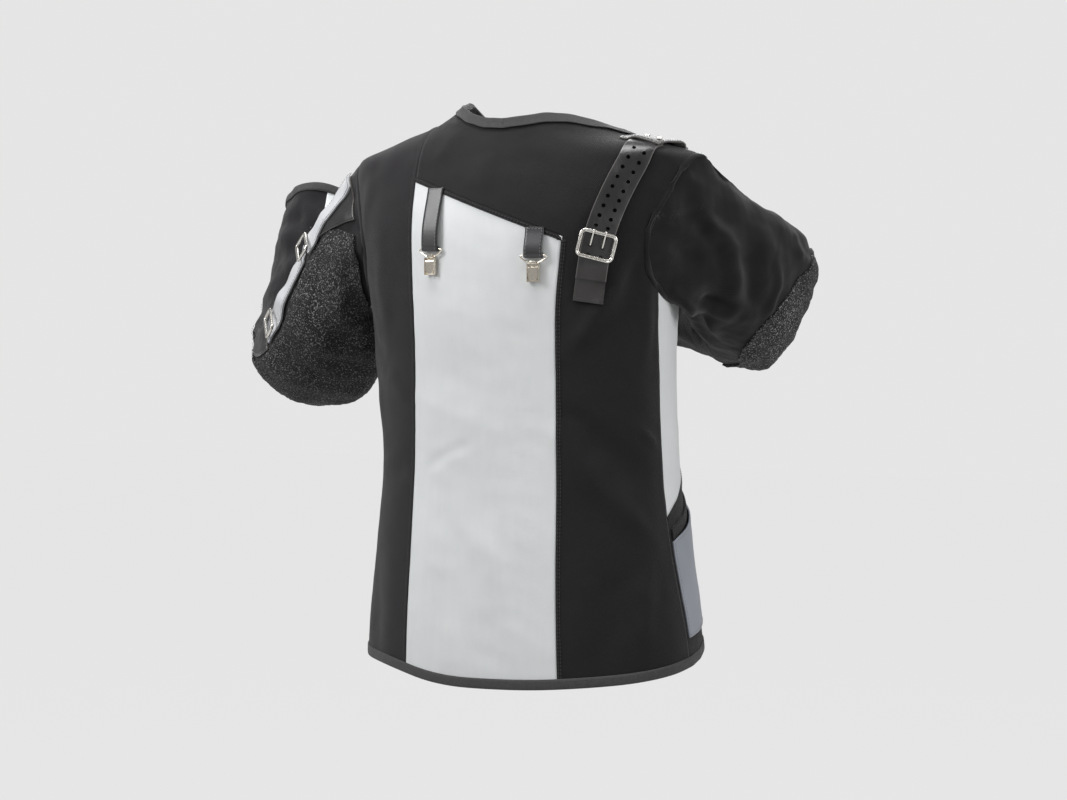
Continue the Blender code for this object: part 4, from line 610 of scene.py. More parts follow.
armCreases = (
    # right sleeve, seen side
    (((-0.2231, 0.0103, -0.1023), (-0.2263, -0.0040, -0.1425), (-0.2420, -0.0322, -0.1625), (-0.2487, -0.0448, -0.1780),
      (-0.2494, -0.0501, -0.2143), (-0.2416, -0.0569, -0.2558)), 0.0042, 0.011),
    (((-0.2854, -0.1081, -0.1824), (-0.2803, -0.1072, -0.2249), (-0.2676, -0.1045, -0.2673)), 0.0026, 0.007),
    (((-0.2657, -0.0710, -0.1678), (-0.2650, -0.0740, -0.2100), (-0.2616, -0.0756, -0.2532)), -0.0034, 0.015),
    (((-0.1946, 0.0128, -0.2284), (-0.2053, -0.0145, -0.2454),
      (-0.2128, -0.0644, -0.2720), (-0.2156, -0.0999, -0.2943)), 0.0050, 0.007),
    (((-0.2157, -0.0165, -0.2353), (-0.2378, -0.0445, -0.2431), (-0.2466, -0.0642, -0.2583)), -0.0052, 0.011),
    (((-0.1841, -0.0175, -0.2456), (-0.1865, -0.0500, -0.2650), (-0.1881, -0.0965, -0.2840)), -0.0032, 0.010),
    (((-0.2226, 0.0028, -0.1378), (-0.2267, -0.0096, -0.1627)), -0.0024, 0.009),
    (((-0.2015, 0.0320, -0.1079), (-0.2219, 0.0138, -0.0846)), 0.0018, 0.009),
    (((-0.1990, 0.0300, -0.1669), (-0.2133, 0.0048, -0.1808), (-0.2258, -0.0150, -0.1927)), -0.0020, 0.011),
    (((-0.2896, -0.1500, -0.1500), (-0.2968, -0.1550, -0.1917)), 0.0020, 0.010),
    # right sleeve, inner bend and front
    (((-0.2000, -0.1594, -0.1403), (-0.1722, -0.1382, -0.1956), (-0.1623, -0.1134, -0.2540)), -0.0060, 0.010),
    (((-0.2039, -0.1884, -0.1509), (-0.1787, -0.1670, -0.2089), (-0.1682, -0.1429, -0.2703)), 0.0036, 0.009),
    (((-0.1969, -0.2082, -0.1547), (-0.1714, -0.1822, -0.2125), (-0.1604, -0.1617, -0.2768)), -0.0070, 0.010),
    (((-0.1796, -0.2170, -0.1560), (-0.1572, -0.1873, -0.2102), (-0.1447, -0.1723, -0.2730)), 0.0036, 0.009),
    (((-0.1503, -0.2272, -0.1558), (-0.1297, -0.1978, -0.2060), (-0.1176, -0.1855, -0.2652)), -0.0050, 0.011),
    # left sleeve, seen side and inner bend
    (((0.4365, -0.0991, -0.1838), (0.4050, -0.0800, -0.2050), (0.3850, -0.0600, -0.2350)), 0.0026, 0.010),
    (((0.4341, -0.1388, -0.1031), (0.4168, -0.1015, -0.1729)), -0.0022, 0.012),
    (((0.2461, 0.0518, -0.1862), (0.2640, 0.0310, -0.2703)), 0.0032, 0.014),
    (((0.2879, 0.0503, -0.2057), (0.2893, 0.0485, -0.2603)), -0.0030, 0.013),
    (((0.3164, 0.0445, -0.2787), (0.2732, 0.0167, -0.3048), (0.2447, -0.0113, -0.2986)), 0.0024, 0.012),
    (((0.3439, 0.0265, -0.3186), (0.3018, -0.0043, -0.3425)), -0.0024, 0.012),
    (((0.2957, -0.1104, -0.2468), (0.3388, -0.0812, -0.2248), (0.3689, -0.0340, -0.2201)), -0.0060, 0.010),
    (((0.3166, -0.1188, -0.2736), (0.3555, -0.0882, -0.2482), (0.3849, -0.0413, -0.2424)), 0.0034, 0.009),
    (((0.3277, -0.1250, -0.2788), (0.3570, -0.0883, -0.2513), (0.3946, -0.0490, -0.2482)), -0.0070, 0.010),
    (((0.3392, -0.1332, -0.2710), (0.3612, -0.0921, -0.2510), (0.4016, -0.0625, -0.2426)), 0.0034, 0.009),
    (((0.3456, -0.1471, -0.2400), (0.3657, -0.1075, -0.2226), (0.4041, -0.0807, -0.2133)), -0.0050, 0.011),
    (((0.2300, -0.0700, -0.1500), (0.2600, -0.0900, -0.2000)), 0.0030, 0.012),
    (((0.2550, -0.0550, -0.1400), (0.2900, -0.0750, -0.1900)), -0.0026, 0.011),
)
ripple = {"broad": 0.00050, "fine": 0.00012, "armBroad": 0.0020, "armFine": 0.00034, "bodyCreases": 1.5, "armCreases": 2.5}
calm = (  # hard pieces and edges under which the cloth stays on the solid's own form: place, reach
    ((-0.1315, 0.0990, -0.1735), 0.030), ((0.0795, 0.1150, -0.1900), 0.020), ((-0.0600, 0.1150, -0.1990), 0.020),
    ((0.0795, 0.1120, -0.1400), 0.016), ((-0.0600, 0.1120, -0.1720), 0.016),
)


def waves(points, length, seed, stretch=(1.0, 1.0, 1.0)):
    rng = np.random.default_rng(seed)
    total = np.zeros(len(points))
    for _ in range(9):
        way = rng.normal(size=3)
        way /= np.linalg.norm(way)
        pitch = 2 * math.pi / (length * rng.uniform(0.75, 1.5))
        total += np.sin(points @ (way * np.array(stretch)) * pitch + rng.uniform(0, 6.28))
    return total / 3.0


def lifted(points, creases):
    # height of the creases: a rise with a shallow hollow on each side, fading at both ends
    total = np.zeros(len(points))
    drift = np.stack([waves(points, 0.045, 30 + k) for k in range(3)], 1) * 0.0022
    warped = points + drift
    for path, rise, width in creases:
        line = np.array(path)
        near = np.all((warped > line.min(0) - 3.2 * width) & (warped < line.max(0) + 3.2 * width), axis=1)
        if not near.any():
            continue
        _, along, gap = onLine(warped[near], path)
        length = np.linalg.norm(np.diff(line, axis=0), axis=1).sum()
        share = along / length
        fade = np.clip(np.minimum(share, 1 - share) / 0.30, 0, 1)
        fade = 0.25 + 0.75 * fade * fade * (3 - 2 * fade)
        q = gap / width
        total[near] += rise * fade * (np.exp(-q * q) - 0.28 * np.exp(-((q / 2.1) ** 2)))
    return total


def settle(points, arms):
    # height of the cloth above the solid's form at each place
    body = ripple["bodyCreases"] * lifted(points, bodyCreases) + ripple["broad"] * waves(points, 0.075, 5, (1, 1, 0.6))
    body += ripple["fine"] * waves(points, 0.022, 6)
    arm = ripple["armCreases"] * lifted(points, armCreases)
    arm = arm + ripple["armBroad"] * waves(points, 0.045, 8) + ripple["armFine"] * waves(points, 0.016, 9)
    height = np.where(arms, arm, body)
    for place, reach in calm:
        height *= 1 - np.exp(-(np.linalg.norm(points - np.array(place), axis=1) / reach) ** 2)
    return height


panelLook = {  # outer finish, inner finish, fineness
    # the left back and the left sleeve wear the canvas with painted light
    "back_left": ("painted_light_canvas", "canvas_back", 3),
    "back_centre": ("white_panel", "white_back", 3),
    "back_right_yoke": ("black_canvas", "canvas_back", 3),
    "front_left": ("black_canvas", "canvas_back", 3),
    "front_right_upper": ("white_panel", "white_back", 3),
    "front_right_lower": ("black_canvas", "canvas_back", 3),
    "sleeve_right_back": ("black_canvas", "canvas_back", 3),
    "sleeve_right_front": ("white_panel", "white_back", 3),
    "sleeve_left_back": ("painted_light_canvas", "canvas_back", 3),
    "sleeve_left_front": ("white_panel", "white_back", 3),
}
trimLook = {
    "neck_binding": ("edge_tape", 2), "hem_binding": ("edge_tape", 2),
    "cuff_binding_right": ("edge_tape", 2), "cuff_binding_left": ("edge_tape", 2),
    # the left elbow patch wears the rubber with painted shade
    "elbow_patch_right": ("grip_rubber", 3), "elbow_patch_left": ("painted_shade_rubber", 3),
    "pocket_right": ("blue_grey_panel", 3), "pocket_welt": ("black_canvas", 3),
    "strap_base": ("base_leather", 3), "strap_anchor": ("black_leather", 2),
    # the two arm straps wear the leather with painted reflection
    "arm_strap_base": ("black_leather", 3), "arm_strap_upper": ("pale_leather", 3), "arm_strap_lower": ("pale_leather", 3),
    "elbow_tab": ("black_leather", 3), "hanger_left": ("clip_leather", 3), "hanger_right": ("clip_leather", 3),
}
made = {}
skinPoints, skinMoves, skinWays = [], [], []


def grainMap(item, arm):
    # cloth coordinates in metres, round the form and along it
    mesh = item.data
    points = coordsOf(mesh)
    if arm:
        middle, along, _ = onLine(points, armLines[arm])
        line = np.array(armLines[arm])
        axis = line[-1] - line[0]
        axis /= np.linalg.norm(axis)
        first = np.cross(axis, (0.0, 0.0, 1.0))
        first /= np.linalg.norm(first)
        second = np.cross(axis, first)
        away = points - middle
        turn = np.arctan2(away @ second, away @ first)
        u, v = turn * 0.075, along
    else:
        turn = np.arctan2(points[:, 0], points[:, 1])
        if np.median(np.abs(turn)) > 1.8:
            turn = np.mod(turn, 2 * math.pi)
        u, v = turn * 0.19, points[:, 2]
    layer = mesh.uv_layers.new(name="grain")
    corners = np.zeros(len(mesh.loops), np.int32)
    mesh.loops.foreach_get("vertex_index", corners)
    layer.data.foreach_set("uv", np.stack([u, v], 1)[corners].astype(np.float32).ravel())


def finished(item, *looks):
    slots = item.data.materials
    for n, look in enumerate(looks):
        if n < len(slots):
            slots[n] = finishes[look]
        else:
            slots.append(finishes[look])
    item.data.shade_smooth()
    item.data.set_sharp_from_angle(angle=math.radians(48))


def makePanels():
    waiting = []
    for source, (outer, inner, level) in panelLook.items():
        item = formed(source + "_cloth", source, level)
        points = coordsOf(item.data)
        skin, ways, _ = outerSkin(item.data)
        arm = armOf(source) is not None
        moves = ways * settle(points[skin], np.full(len(skin), arm))[:, None]
        skinPoints.append(points[skin])
        skinMoves.append(moves)
        skinWays.append(ways)
        waiting.append((source, item, points, skin, moves))
        grainMap(item, armOf(source))
        finished(item, outer, inner, outer)
        made[source] = item
    buildTree()
    for source, item, points, skin, moves in waiting:
        rest = np.setdiff1d(np.arange(len(points)), skin)
        points[rest] += carried(points[rest])
        points[skin] += moves
        setCoords(item.data, points)


skinTree = None


def buildTree():
    global skinTree, skinPoints, skinMoves, skinWays
    skinPoints, skinMoves, skinWays = (np.concatenate(x) for x in (skinPoints, skinMoves, skinWays))
    skinTree = kdtree.KDTree(len(skinPoints))
    for n, place in enumerate(skinPoints):
        skinTree.insert(place, n)
    skinTree.balance()


def carried(points, spread=0.0030):
    # how far the cloth under each point has moved
    out = np.zeros((len(points), 3))
    for n, place in enumerate(points):
        found = skinTree.find_n(place, 6)
        low = found[0][2] ** 2
        weights = [math.exp(-(gap * gap - low) / (2 * spread * spread)) for _, _, gap in found]
        total = sum(weights)
        for (_, index, _), weight in zip(found, weights):
            out[n] += skinMoves[index] * (weight / total)
    return out


def setEdge(item, values):
    layer = item.data.attributes.get("edge") or item.data.attributes.new("edge", "FLOAT", "POINT")
    layer.data.foreach_set("value", np.asarray(values, np.float32))


def edgeOf(mesh, points):
    skin, _, border = outerSkin(mesh)
    tree = kdtree.KDTree(len(border))
    for n, k in enumerate(border):
        tree.insert(points[k], n)
    tree.balance()
    gaps = np.zeros(len(points))
    for k in skin:
        gaps[k] = tree.find(points[k])[2]
    return gaps


def makeTrims():
    for source, (look, level) in trimLook.items():
        tape = "binding" in source
        item = formed(source + "_piece", source, level, 75.0 if tape else 52.0)
        points = coordsOf(item.data)
        moves = carried(points)
        if source.startswith("hanger"):
            moves *= 0.0
        points += moves
        if "rubber" in look:
            skin, ways, _ = outerSkin(item.data)
            points[skin] += ways * (0.00045 * waves(points[skin], 0.0075, 12) + 0.0002)[:, None]
        setCoords(item.data, points)
        if not tape:
            setEdge(item, edgeOf(item.data, points))
        grainMap(item, armOf(source))
        finished(item, look, look, look)
        made[source] = item


makePanels()
print("panels formed")
makeTrims()
print("trims formed")


# ---- places on the finished cloth
class Ground:
    def __init__(self, *sources):
        self.trees = []
        for source in sources:
            mesh = made[source].data
            polygons = [tuple(p.vertices) for p in mesh.polygons if p.material_index == 0]
            self.trees.append(BVHTree.FromPolygons([v.co for v in mesh.vertices], polygons))

    def nearest(self, place):
        best = None
        for tree in self.trees:
            spot, way, _, gap = tree.find_nearest(Vector(place))
            if spot is not None and (best is None or gap < best[2]):
                best = (np.array(spot), np.array(way), gap)
        return best

    def under(self, place, way, reach=0.02):
        best = None
        for tree in self.trees:
            spot, _, _, gap = tree.ray_cast(Vector(place + way * reach), Vector(-way), 2 * reach)
            if spot is not None and (best is None or gap < best[1]):
                best = (np.array(spot), gap)
        return place if best is None else best[0]


def unit(v):
    return v / max(1e-12, np.linalg.norm(v))


def chained(points):
    # the points in order along their line; the first pass finds an end of it
    points = np.array(points)
    order = [0]
    for _ in range(2):
        order = [order[-1]]
        left = [n for n in range(len(points)) if n != order[0]]
        while left:
            gaps = np.linalg.norm(points[left] - points[order[-1]], axis=1)
            n = int(np.argmin(gaps))
            if gaps[n] > 0.014:
                break
            order.append(left.pop(n))
    return points[order]


def evenly(path, step, soften=2):
    path = np.array(path)
    for _ in range(soften):
        path[1:-1] = 0.25 * path[:-2] + 0.5 * path[1:-1] + 0.25 * path[2:]
    along = np.concatenate([[0], np.cumsum(np.linalg.norm(np.diff(path, axis=0), axis=1))])
    count = max(2, round(along[-1] / step) + 1)
    wanted = np.linspace(0, along[-1], count)
    return np.stack([np.interp(wanted, along, path[:, c]) for c in range(3)], 1)


def seamPath(source, *others, reach=0.0035, step=0.0045):
    # the outer border of one piece where it meets the others
    mesh = made[source].data
    edge = outerSkin(mesh)[2]
    points = coordsOf(mesh)[edge]
    there = Ground(*others)
    near = [p for p in points if there.nearest(p)[2] < reach]
    return evenly(chained(near), step)


rollLook = {"past": 0.0036, "height": 0.0021, "sides": 14, "soften": 4, "around": 0.125, "turn": 5.0, "reach": 0.012}


def armholePath(arm, half, body):
    # the line of a sleeve's outer side that lies nearest the body, by steps of the turn round the armhole
    mesh = made[f"sleeve_{arm}_{half}"].data
    points = coordsOf(mesh)[outerSkin(mesh)[0]]
    shoulder = np.array(armLines[arm][0])
    points = points[np.linalg.norm(points - shoulder, axis=1) < rollLook["around"]]
    turns = np.degrees(np.arctan2(points[:, 2] - shoulder[2], points[:, 1] - shoulder[1]))
    if half == "front":
        turns %= 360
    best = {}
    for place, turn in zip(points, turns):
        gap = body.nearest(place)[2]
        step = int(turn // rollLook["turn"])
        if gap < rollLook["reach"] and (step not in best or gap < best[step][0]):
            best[step] = (gap, place)
    return evenly([best[n][1] for n in sorted(best)], 0.0045, 2)


def frames(path, ground, towards):
    # at each point of the path: place, way along, way across towards a place, way out
    out = []
    for n, place in enumerate(path):
        along = unit(path[min(n + 1, len(path) - 1)] - path[max(n - 1, 0)])
        _, way, _ = ground.nearest(place)
        along = unit(along - way * (along @ way))
        across = np.cross(along, way)
        if towards is not None and across @ (np.array(towards) - place) < 0:
            across = -across
        out.append((place, along, across, way))
    if towards is None:
        return out
    total = sum(f[2] @ unit(np.array(towards) - f[0]) for f in out)
    if total < 0:
        out = [(p, a, -c, w) for p, a, c, w in out]
    return out


stitchLook = {"length": 0.0027, "pitch": 0.0044, "thick": 0.00034}
stitchSets = {"black_thread": [], "grey_thread": [], "white_thread": []}


def stitchRow(thread, path, ground, towards, offset, lift=0.0, pitch=None):
    even = evenly(path, pitch or stitchLook["pitch"], 0)
    for place, along, across, way in frames(even, ground, towards):
        spot = ground.under(place + across * offset, way, 0.006)
        stitchSets[thread].append((spot + way * lift, along, way))


def sewStitches():
    half, thick = stitchLook["length"] / 2, stitchLook["thick"]
    rings = ((-half, -0.3, 0.45), (-half * 0.55, 0.5, 1.0), (half * 0.55, 0.5, 1.0), (half, -0.3, 0.45))
    shape = [(x, math.cos(a) * r, up + math.sin(a) * r) for x, up, r in rings for a in (0.0, 1.57, 3.14, 4.71)]
    sides = [(4 * i + j, 4 * i + (j + 1) % 4, 4 * i + 4 + (j + 1) % 4, 4 * i + 4 + j) for i in range(3) for j in range(4)]
    for thread, spots in stitchSets.items():
        if not spots:
            continue
        points, faces = [], []
        for spot, along, way in spots:
            side = np.cross(way, along)
            base = len(points)
            points += [spot + along * x + side * (y * thick) + way * (z * thick) for x, y, z in shape]
            faces += [tuple(base + k for k in side4) for side4 in sides]
            faces += [(base + 3, base + 2, base + 1, base), (base + 12, base + 13, base + 14, base + 15)]
        mesh = bpy.data.meshes.new(thread)
        mesh.from_pydata([tuple(p) for p in points], [], faces)
        mesh.materials.append(finishes[thread])
        mesh.shade_smooth()
        item = linked("stitches_" + thread.split("_")[0], mesh)
        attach(item, "jacket")


def ribbonMesh(name, look, rows, thickness, rounding=0.0, cyclic=False):
    # rows of (place, way out) across the band; a closed band with rounded long edges
    bm = bmesh.new()
    grid = []
    across = len(rows[0])
    for row in rows:
        line = []
        for n, (place, way) in enumerate(row):
            share = abs(2 * n / (across - 1) - 1)
            drop = rounding * share**4
            line.append((bm.verts.new(place + way * (thickness - drop)), bm.verts.new(place)))
        grid.append(line)
    count = len(grid) if cyclic else len(grid) - 1
    for i in range(count):
        a, b = grid[i], grid[(i + 1) % len(grid)]
        for j in range(across - 1):
            bm.faces.new((a[j][0], a[j + 1][0], b[j + 1][0], b[j][0]))
            bm.faces.new((a[j][1], b[j][1], b[j + 1][1], a[j + 1][1]))
        bm.faces.new((a[0][0], b[0][0], b[0][1], a[0][1]))
        bm.faces.new((a[-1][0], a[-1][1], b[-1][1], b[-1][0]))
    if not cyclic:
        for line, flip in ((grid[0], False), (grid[-1], True)):
            for j in range(across - 1):
                quad = (line[j][0], line[j][1], line[j + 1][1], line[j + 1][0])
                bm.faces.new(quad[::-1] if flip else quad)
    bmesh.ops.recalc_face_normals(bm, faces=bm.faces)
    mesh = bpy.data.meshes.new(name)
    bm.to_mesh(mesh)
    bm.free()
    item = linked(name, mesh)
    grainMap(item, None)
    finished(item, look)
    return item


seams = {  # border of a piece, the pieces it meets, where the band lies towards, its width, look, thread
    "left_long": ("back_left", ("back_centre", "back_right_yoke"), (0.20, 0.07, -0.40), 0.0062, "painted_light_canvas", "black_thread"),
    "right_long": ("back_centre", ("back_right_yoke",), (-0.19, 0.05, -0.50), 0.0058, "black_canvas", "black_thread"),
    "shoulder_left": ("back_left", ("front_left",), (0.15, -0.08, -0.10), 0.0070, "black_canvas", "black_thread"),
    "shoulder_right": ("back_right_yoke", ("front_right_upper",), (-0.15, -0.08, -0.10), 0.0070, "white_panel", "white_thread"),
    "side_left": ("front_left", ("back_left",), (0.15, 0.12, -0.45), 0.0064, "painted_light_canvas", "black_thread"),
    "side_right": ("back_right_yoke", ("front_right_upper", "front_right_lower"), (-0.15, 0.12, -0.45), 0.0064,
                   "black_canvas", "black_thread"),
    "front_slant": ("front_right_lower", ("front_right_upper",), (-0.10, -0.12, -0.60), 0.0064, "black_canvas", "black_thread"),
}


def sewSeams():
    body = ("back_left", "back_centre", "back_right_yoke", "front_left", "front_right_upper", "front_right_lower")
    ground = Ground(*body)
    for name, (source, others, towards, width, look, thread) in seams.items():
        path = seamPath(source, *others)
        layBand("seam_" + name, look, path, ground, towards, width, thread)
    for arm in ("right", "left"):
        sleeves = Ground(f"sleeve_{arm}_back", f"sleeve_{arm}_front")
        for half in ("back", "front"):
            path = armholePath(arm, half, ground)
            look = "black_canvas" if half == "back" else "white_panel"
            # the left sleeve's back armhole takes the canvas with painted light
            if arm == "left" and half == "back":
                look = "painted_light_canvas"
            rollSeam(f"armhole_{arm}_{half}", look, path, ground, sleeves)
        path = seamPath(f"sleeve_{arm}_back", f"sleeve_{arm}_front")
        stitchRow("black_thread", path, sleeves, None, 0.0022)
        stitchRow("black_thread", path, sleeves, None, -0.0022)


def rollSeam(name, look, path, body, sleeves):
    # a soft rolled edge that bridges the line where a sleeve meets the body
    spots = []
    for place in path:
        there, bodyWay, gap = body.nearest(place)
        sleeveWay = sleeves.nearest(place)[1]
        spots.append(np.concatenate([(place + there) / 2, unit(bodyWay + sleeveWay), [gap / 2 + rollLook["past"]]]))
    spots = np.array(spots)
    for _ in range(rollLook["soften"]):
        spots[1:-1] = 0.25 * spots[:-2] + 0.5 * spots[1:-1] + 0.25 * spots[2:]
    bm = bmesh.new()
    rings = []
    for n, spot in enumerate(spots):
        along = unit(spots[min(n + 1, len(spots) - 1)][:3] - spots[max(n - 1, 0)][:3])
        way = unit(spot[3:6] - along * (spot[3:6] @ along))
        across = np.cross(along, way)
        taper = min(1.0, 0.55 + 0.15 * min(n, len(spots) - 1 - n))
        ring = []
        for k in range(rollLook["sides"]):
            turn = 2 * math.pi * k / rollLook["sides"]
            out = across * (spot[6] * math.cos(turn)) + way * (rollLook["height"] * math.sin(turn))
            ring.append(bm.verts.new(spot[:3] + out * taper))
        rings.append(ring)
    for a, b in zip(rings, rings[1:]):
        for k in range(rollLook["sides"]):
            m = (k + 1) % rollLook["sides"]
            bm.faces.new((a[k], a[m], b[m], b[k]))
    bm.faces.new(rings[0])
    bm.faces.new(rings[-1])
    bmesh.ops.recalc_face_normals(bm, faces=bm.faces)
    mesh = bpy.data.meshes.new(name)
    bm.to_mesh(mesh)
    bm.free()
    item = linked(name, mesh)
    grainMap(item, None)
    finished(item, look)
    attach(item, "jacket")
    made[name] = item


def layBand(name, look, path, ground, towards, width, thread, thickness=0.0008, over=0.0006):
    rows = []
    for place, along, across, way in frames(path, ground, towards):
        row = []
        for n in range(7):
            spot = place + across * (width * n / 6 - over)
            row.append((ground.under(spot, way, 0.008) - way * 0.00005, way))
        rows.append(row)
    item = ribbonMesh(name, look, rows, thickness, thickness * 0.75)
    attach(item, "jacket")
    for offset in (0.0016, width - 0.0013) if thread else ():
        stitchRow(thread, path, ground, towards, offset, thickness * 0.92)
    made[name] = item


sewSeams()
print("seams sewn")

# ---- shoulder strap with its pairs of holes
strapLook = {"width": 0.0365, "thick": 0.0026, "hole": 0.0025}
strapRows = (
    (-0.1245, 0.0957, -0.2140), (-0.1258, 0.0954, -0.2044), (-0.1272, 0.0950, -0.1948), (-0.1288, 0.0946, -0.1852),
    (-0.1309, 0.0941, -0.1756), (-0.1333, 0.0933, -0.1660), (-0.1360, 0.0923, -0.1564), (-0.1389, 0.0912, -0.1468),
    (-0.1421, 0.0896, -0.1372), (-0.1457, 0.0876, -0.1276), (-0.1494, 0.0853, -0.1180), (-0.1531, 0.0826, -0.1084),
    (-0.1570, 0.0796, -0.0988), (-0.1610, 0.0759, -0.0892), (-0.1651, 0.0717, -0.0796), (-0.1693, 0.0672, -0.0700),
    (-0.1705, 0.0594, -0.0588), (-0.1718, 0.0516, -0.0555), (-0.1730, 0.0438, -0.0534), (-0.1743, 0.0360, -0.0520),
)
strapLifts = (4.5, 4.5, 4.5, 4.5, 4.5, 4.5, 4.5, 4.2, 2.2, 1.2, 1.0, 1.0, 1.0, 1.0, 1.2, 2.0, 2.2, 2.2, 2.2, 2.2)
strapHoles = (
    (-0.1240, 0.1018, -0.1842), (-0.1369, 0.0953, -0.1876),
    (-0.1267, 0.1011, -0.1728), (-0.1395, 0.0946, -0.1764), (-0.1296, 0.1001, -0.1613), (-0.1423, 0.0937, -0.1654),
    (-0.1329, 0.0989, -0.1499), (-0.1455, 0.0926, -0.1544), (-0.1355, 0.0948, -0.1382), (-0.1484, 0.0902, -0.1435),
    (-0.1392, 0.0915, -0.1267), (-0.1513, 0.0859, -0.1325), (-0.1435, 0.0887, -0.1153), (-0.1556, 0.0833, -0.1214),
    (-0.1479, 0.0854, -0.1040), (-0.1599, 0.0804, -0.1103), (-0.1525, 0.0815, -0.0926), (-0.1645, 0.0769, -0.0992),
    (-0.1572, 0.0767, -0.0812), (-0.1692, 0.0726, -0.0881), (-0.1620, 0.0715, -0.0699), (-0.1740, 0.0675, -0.0770),
    (-0.1664, 0.0643, -0.0594), (-0.1785, 0.0626, -0.0663),
)


def makeStrap():
    ground = Ground("back_right_yoke", "front_right_upper")
    path = evenly(strapRows, 0.0022, 1)
    share = np.linspace(0, 1, len(path))
    lifts = np.interp(share, np.linspace(0, 1, len(strapLifts)), strapLifts) * 0.001
    for _ in range(6):
        lifts[1:-1] = 0.25 * lifts[:-2] + 0.5 * lifts[1:-1] + 0.25 * lifts[2:]
    rows = []
    columns = 19
    for (place, along, across, way), lift in zip(frames(path, ground, (-0.3, 0.05, -0.1)), lifts):
        row = []
        for n in range(columns):
            spot = place + across * strapLook["width"] * (n / (columns - 1) - 0.5)
            row.append([ground.under(spot, way, 0.012) + way * lift, way])
        rows.append(row)
    for _ in range(8):  # leather is stiffer than the cloth under it
        places = np.array([[p for p, _ in row] for row in rows])
        places[:, 1:-1] = 0.25 * places[:, :-2] + 0.5 * places[:, 1:-1] + 0.25 * places[:, 2:]
        places[1:-1] = 0.25 * places[:-2] + 0.5 * places[1:-1] + 0.25 * places[2:]
        for row, line in zip(rows, places):
            for cell, place in zip(row, line):
                cell[0] = place
    strap = ribbonMesh("shoulder_strap_piece", "strap_leather", rows, strapLook["thick"], 0.0009)
    bm = bmesh.new()
    middles = np.array([row[columns // 2][0] for row in rows])
    for hole in strapHoles:
        n = int(np.argmin(np.linalg.norm(middles - np.array(hole), axis=1)))
        way = Vector(rows[n][0][1])
        turn = way.to_track_quat("Z", "Y").to_matrix().to_4x4()
        bmesh.ops.create_cone(bm, cap_ends=True, segments=20, radius1=strapLook["hole"], radius2=strapLook["hole"], depth=0.016,
                              matrix=Matrix.Translation(Vector(hole) + way * 0.002) @ turn)
    mesh = bpy.data.meshes.new("punch")
    bm.to_mesh(mesh)
    bm.free()
    punch = linked("punch", mesh)
    step = strap.modifiers.new("holes", "BOOLEAN")
    step.operation, step.solver, step.object = "DIFFERENCE", "EXACT", punch
    fine = evaluated(strap)
    strap.modifiers.clear()
    strap.data = fine
    strap.data.set_sharp_from_angle(angle=math.radians(40))
    points = coordsOf(strap.data)
    side = strapLook["width"] / 2 - onLine(points, middles)[2]
    # painted glints: the holes' rims count as edges, so they take the lighter rim colour
    for hole in strapHoles:
        side = np.minimum(side, np.abs(np.linalg.norm(points - np.array(hole), axis=1) - strapLook["hole"]))
    setEdge(strap, side)
    bpy.data.objects.remove(punch, do_unlink=True)
    made["shoulder_strap"] = strap


makeStrap()
print("strap made")


# ---- metal and buttons
def flatFrame(source):
    # middle and three ways of a flat hard piece, the shortest last
    points = coordsOf(nodes[source].data)
    middle = points.mean(0)
    ways = np.linalg.svd(points - middle, full_matrices=False)[2]
    if np.cross(ways[0], ways[1]) @ ways[2] < 0:
        ways[1] = -ways[1]
    spans = [((points - middle) @ w) for w in ways]
    middle = middle + sum(w * (s.max() + s.min()) / 2 for w, s in zip(ways, spans))
    return middle, ways, [s.max() - s.min() for s in spans]


def hardPiece(source, look, level, corner=180.0):
    item = formed(source + "_piece", source, level, corner)
    finished(item, look, look, look)
    grainMap(item, None)
    made[source] = item
    return item


def ringWire(bm, frameOf, size, radius, corner, sides=14, lift=0.0):
    # a rounded rectangle of round wire
    middle, ways = frameOf
    path = []
    for turn, (sx, sy) in enumerate(((1, 1), (-1, 1), (-1, -1), (1, -1))):
        for i in range(9):
            a = math.radians(90 * turn + 90 * i / 8)
            path.append((sx * (size[0] / 2 - corner) + corner * math.cos(a), sy * (size[1] / 2 - corner) + corner * math.sin(a)))
    rings = []
    for n, (x, y) in enumerate(path):
        before, after = path[n - 1], path[(n + 1) % len(path)]
        dx, dy = after[0] - before[0], after[1] - before[1]
        length = math.hypot(dx, dy)
        out = ways[0] * (dy / length) - ways[1] * (dx / length)
        base = middle + ways[0] * x + ways[1] * y + ways[2] * lift
        rings.append([bm.verts.new(base + out * radius * math.cos(t) + ways[2] * radius * math.sin(t))
                      for t in (2 * math.pi * k / sides for k in range(sides))])
    for n, ring in enumerate(rings):
        nextRing = rings[(n + 1) % len(rings)]
        for k in range(sides):
            bm.faces.new((ring[k], ring[(k + 1) % sides], nextRing[(k + 1) % sides], nextRing[k]))


buckleLook = {"rim": 0.00120, "inner": 0.00095, "corner": 0.0062}


def makeBuckle():
    middle, ways, spans = flatFrame("buckle_frame")
    if ways[2] @ np.array((-0.3, 1.0, 0.1)) < 0:
        ways[2], ways[1] = -ways[2], -ways[1]
    bm = bmesh.new()
    rim, inner = buckleLook["rim"], buckleLook["inner"]
    ringWire(bm, (middle, ways), (spans[0] - 2 * rim, spans[1] - 2 * rim), rim, buckleLook["corner"])
    inside = [span - 4 * rim - 1.9 * inner for span in spans[:2]]
    ringWire(bm, (middle, ways), inside, inner, buckleLook["corner"] - 0.0020)
    bmesh.ops.recalc_face_normals(bm, faces=bm.faces)
    mesh = bpy.data.meshes.new("buckle")
    bm.to_mesh(mesh)
    bm.free()
    item = linked("buckle_frame_piece", mesh)
    finished(item, "nickel")
    made["buckle_frame"] = item


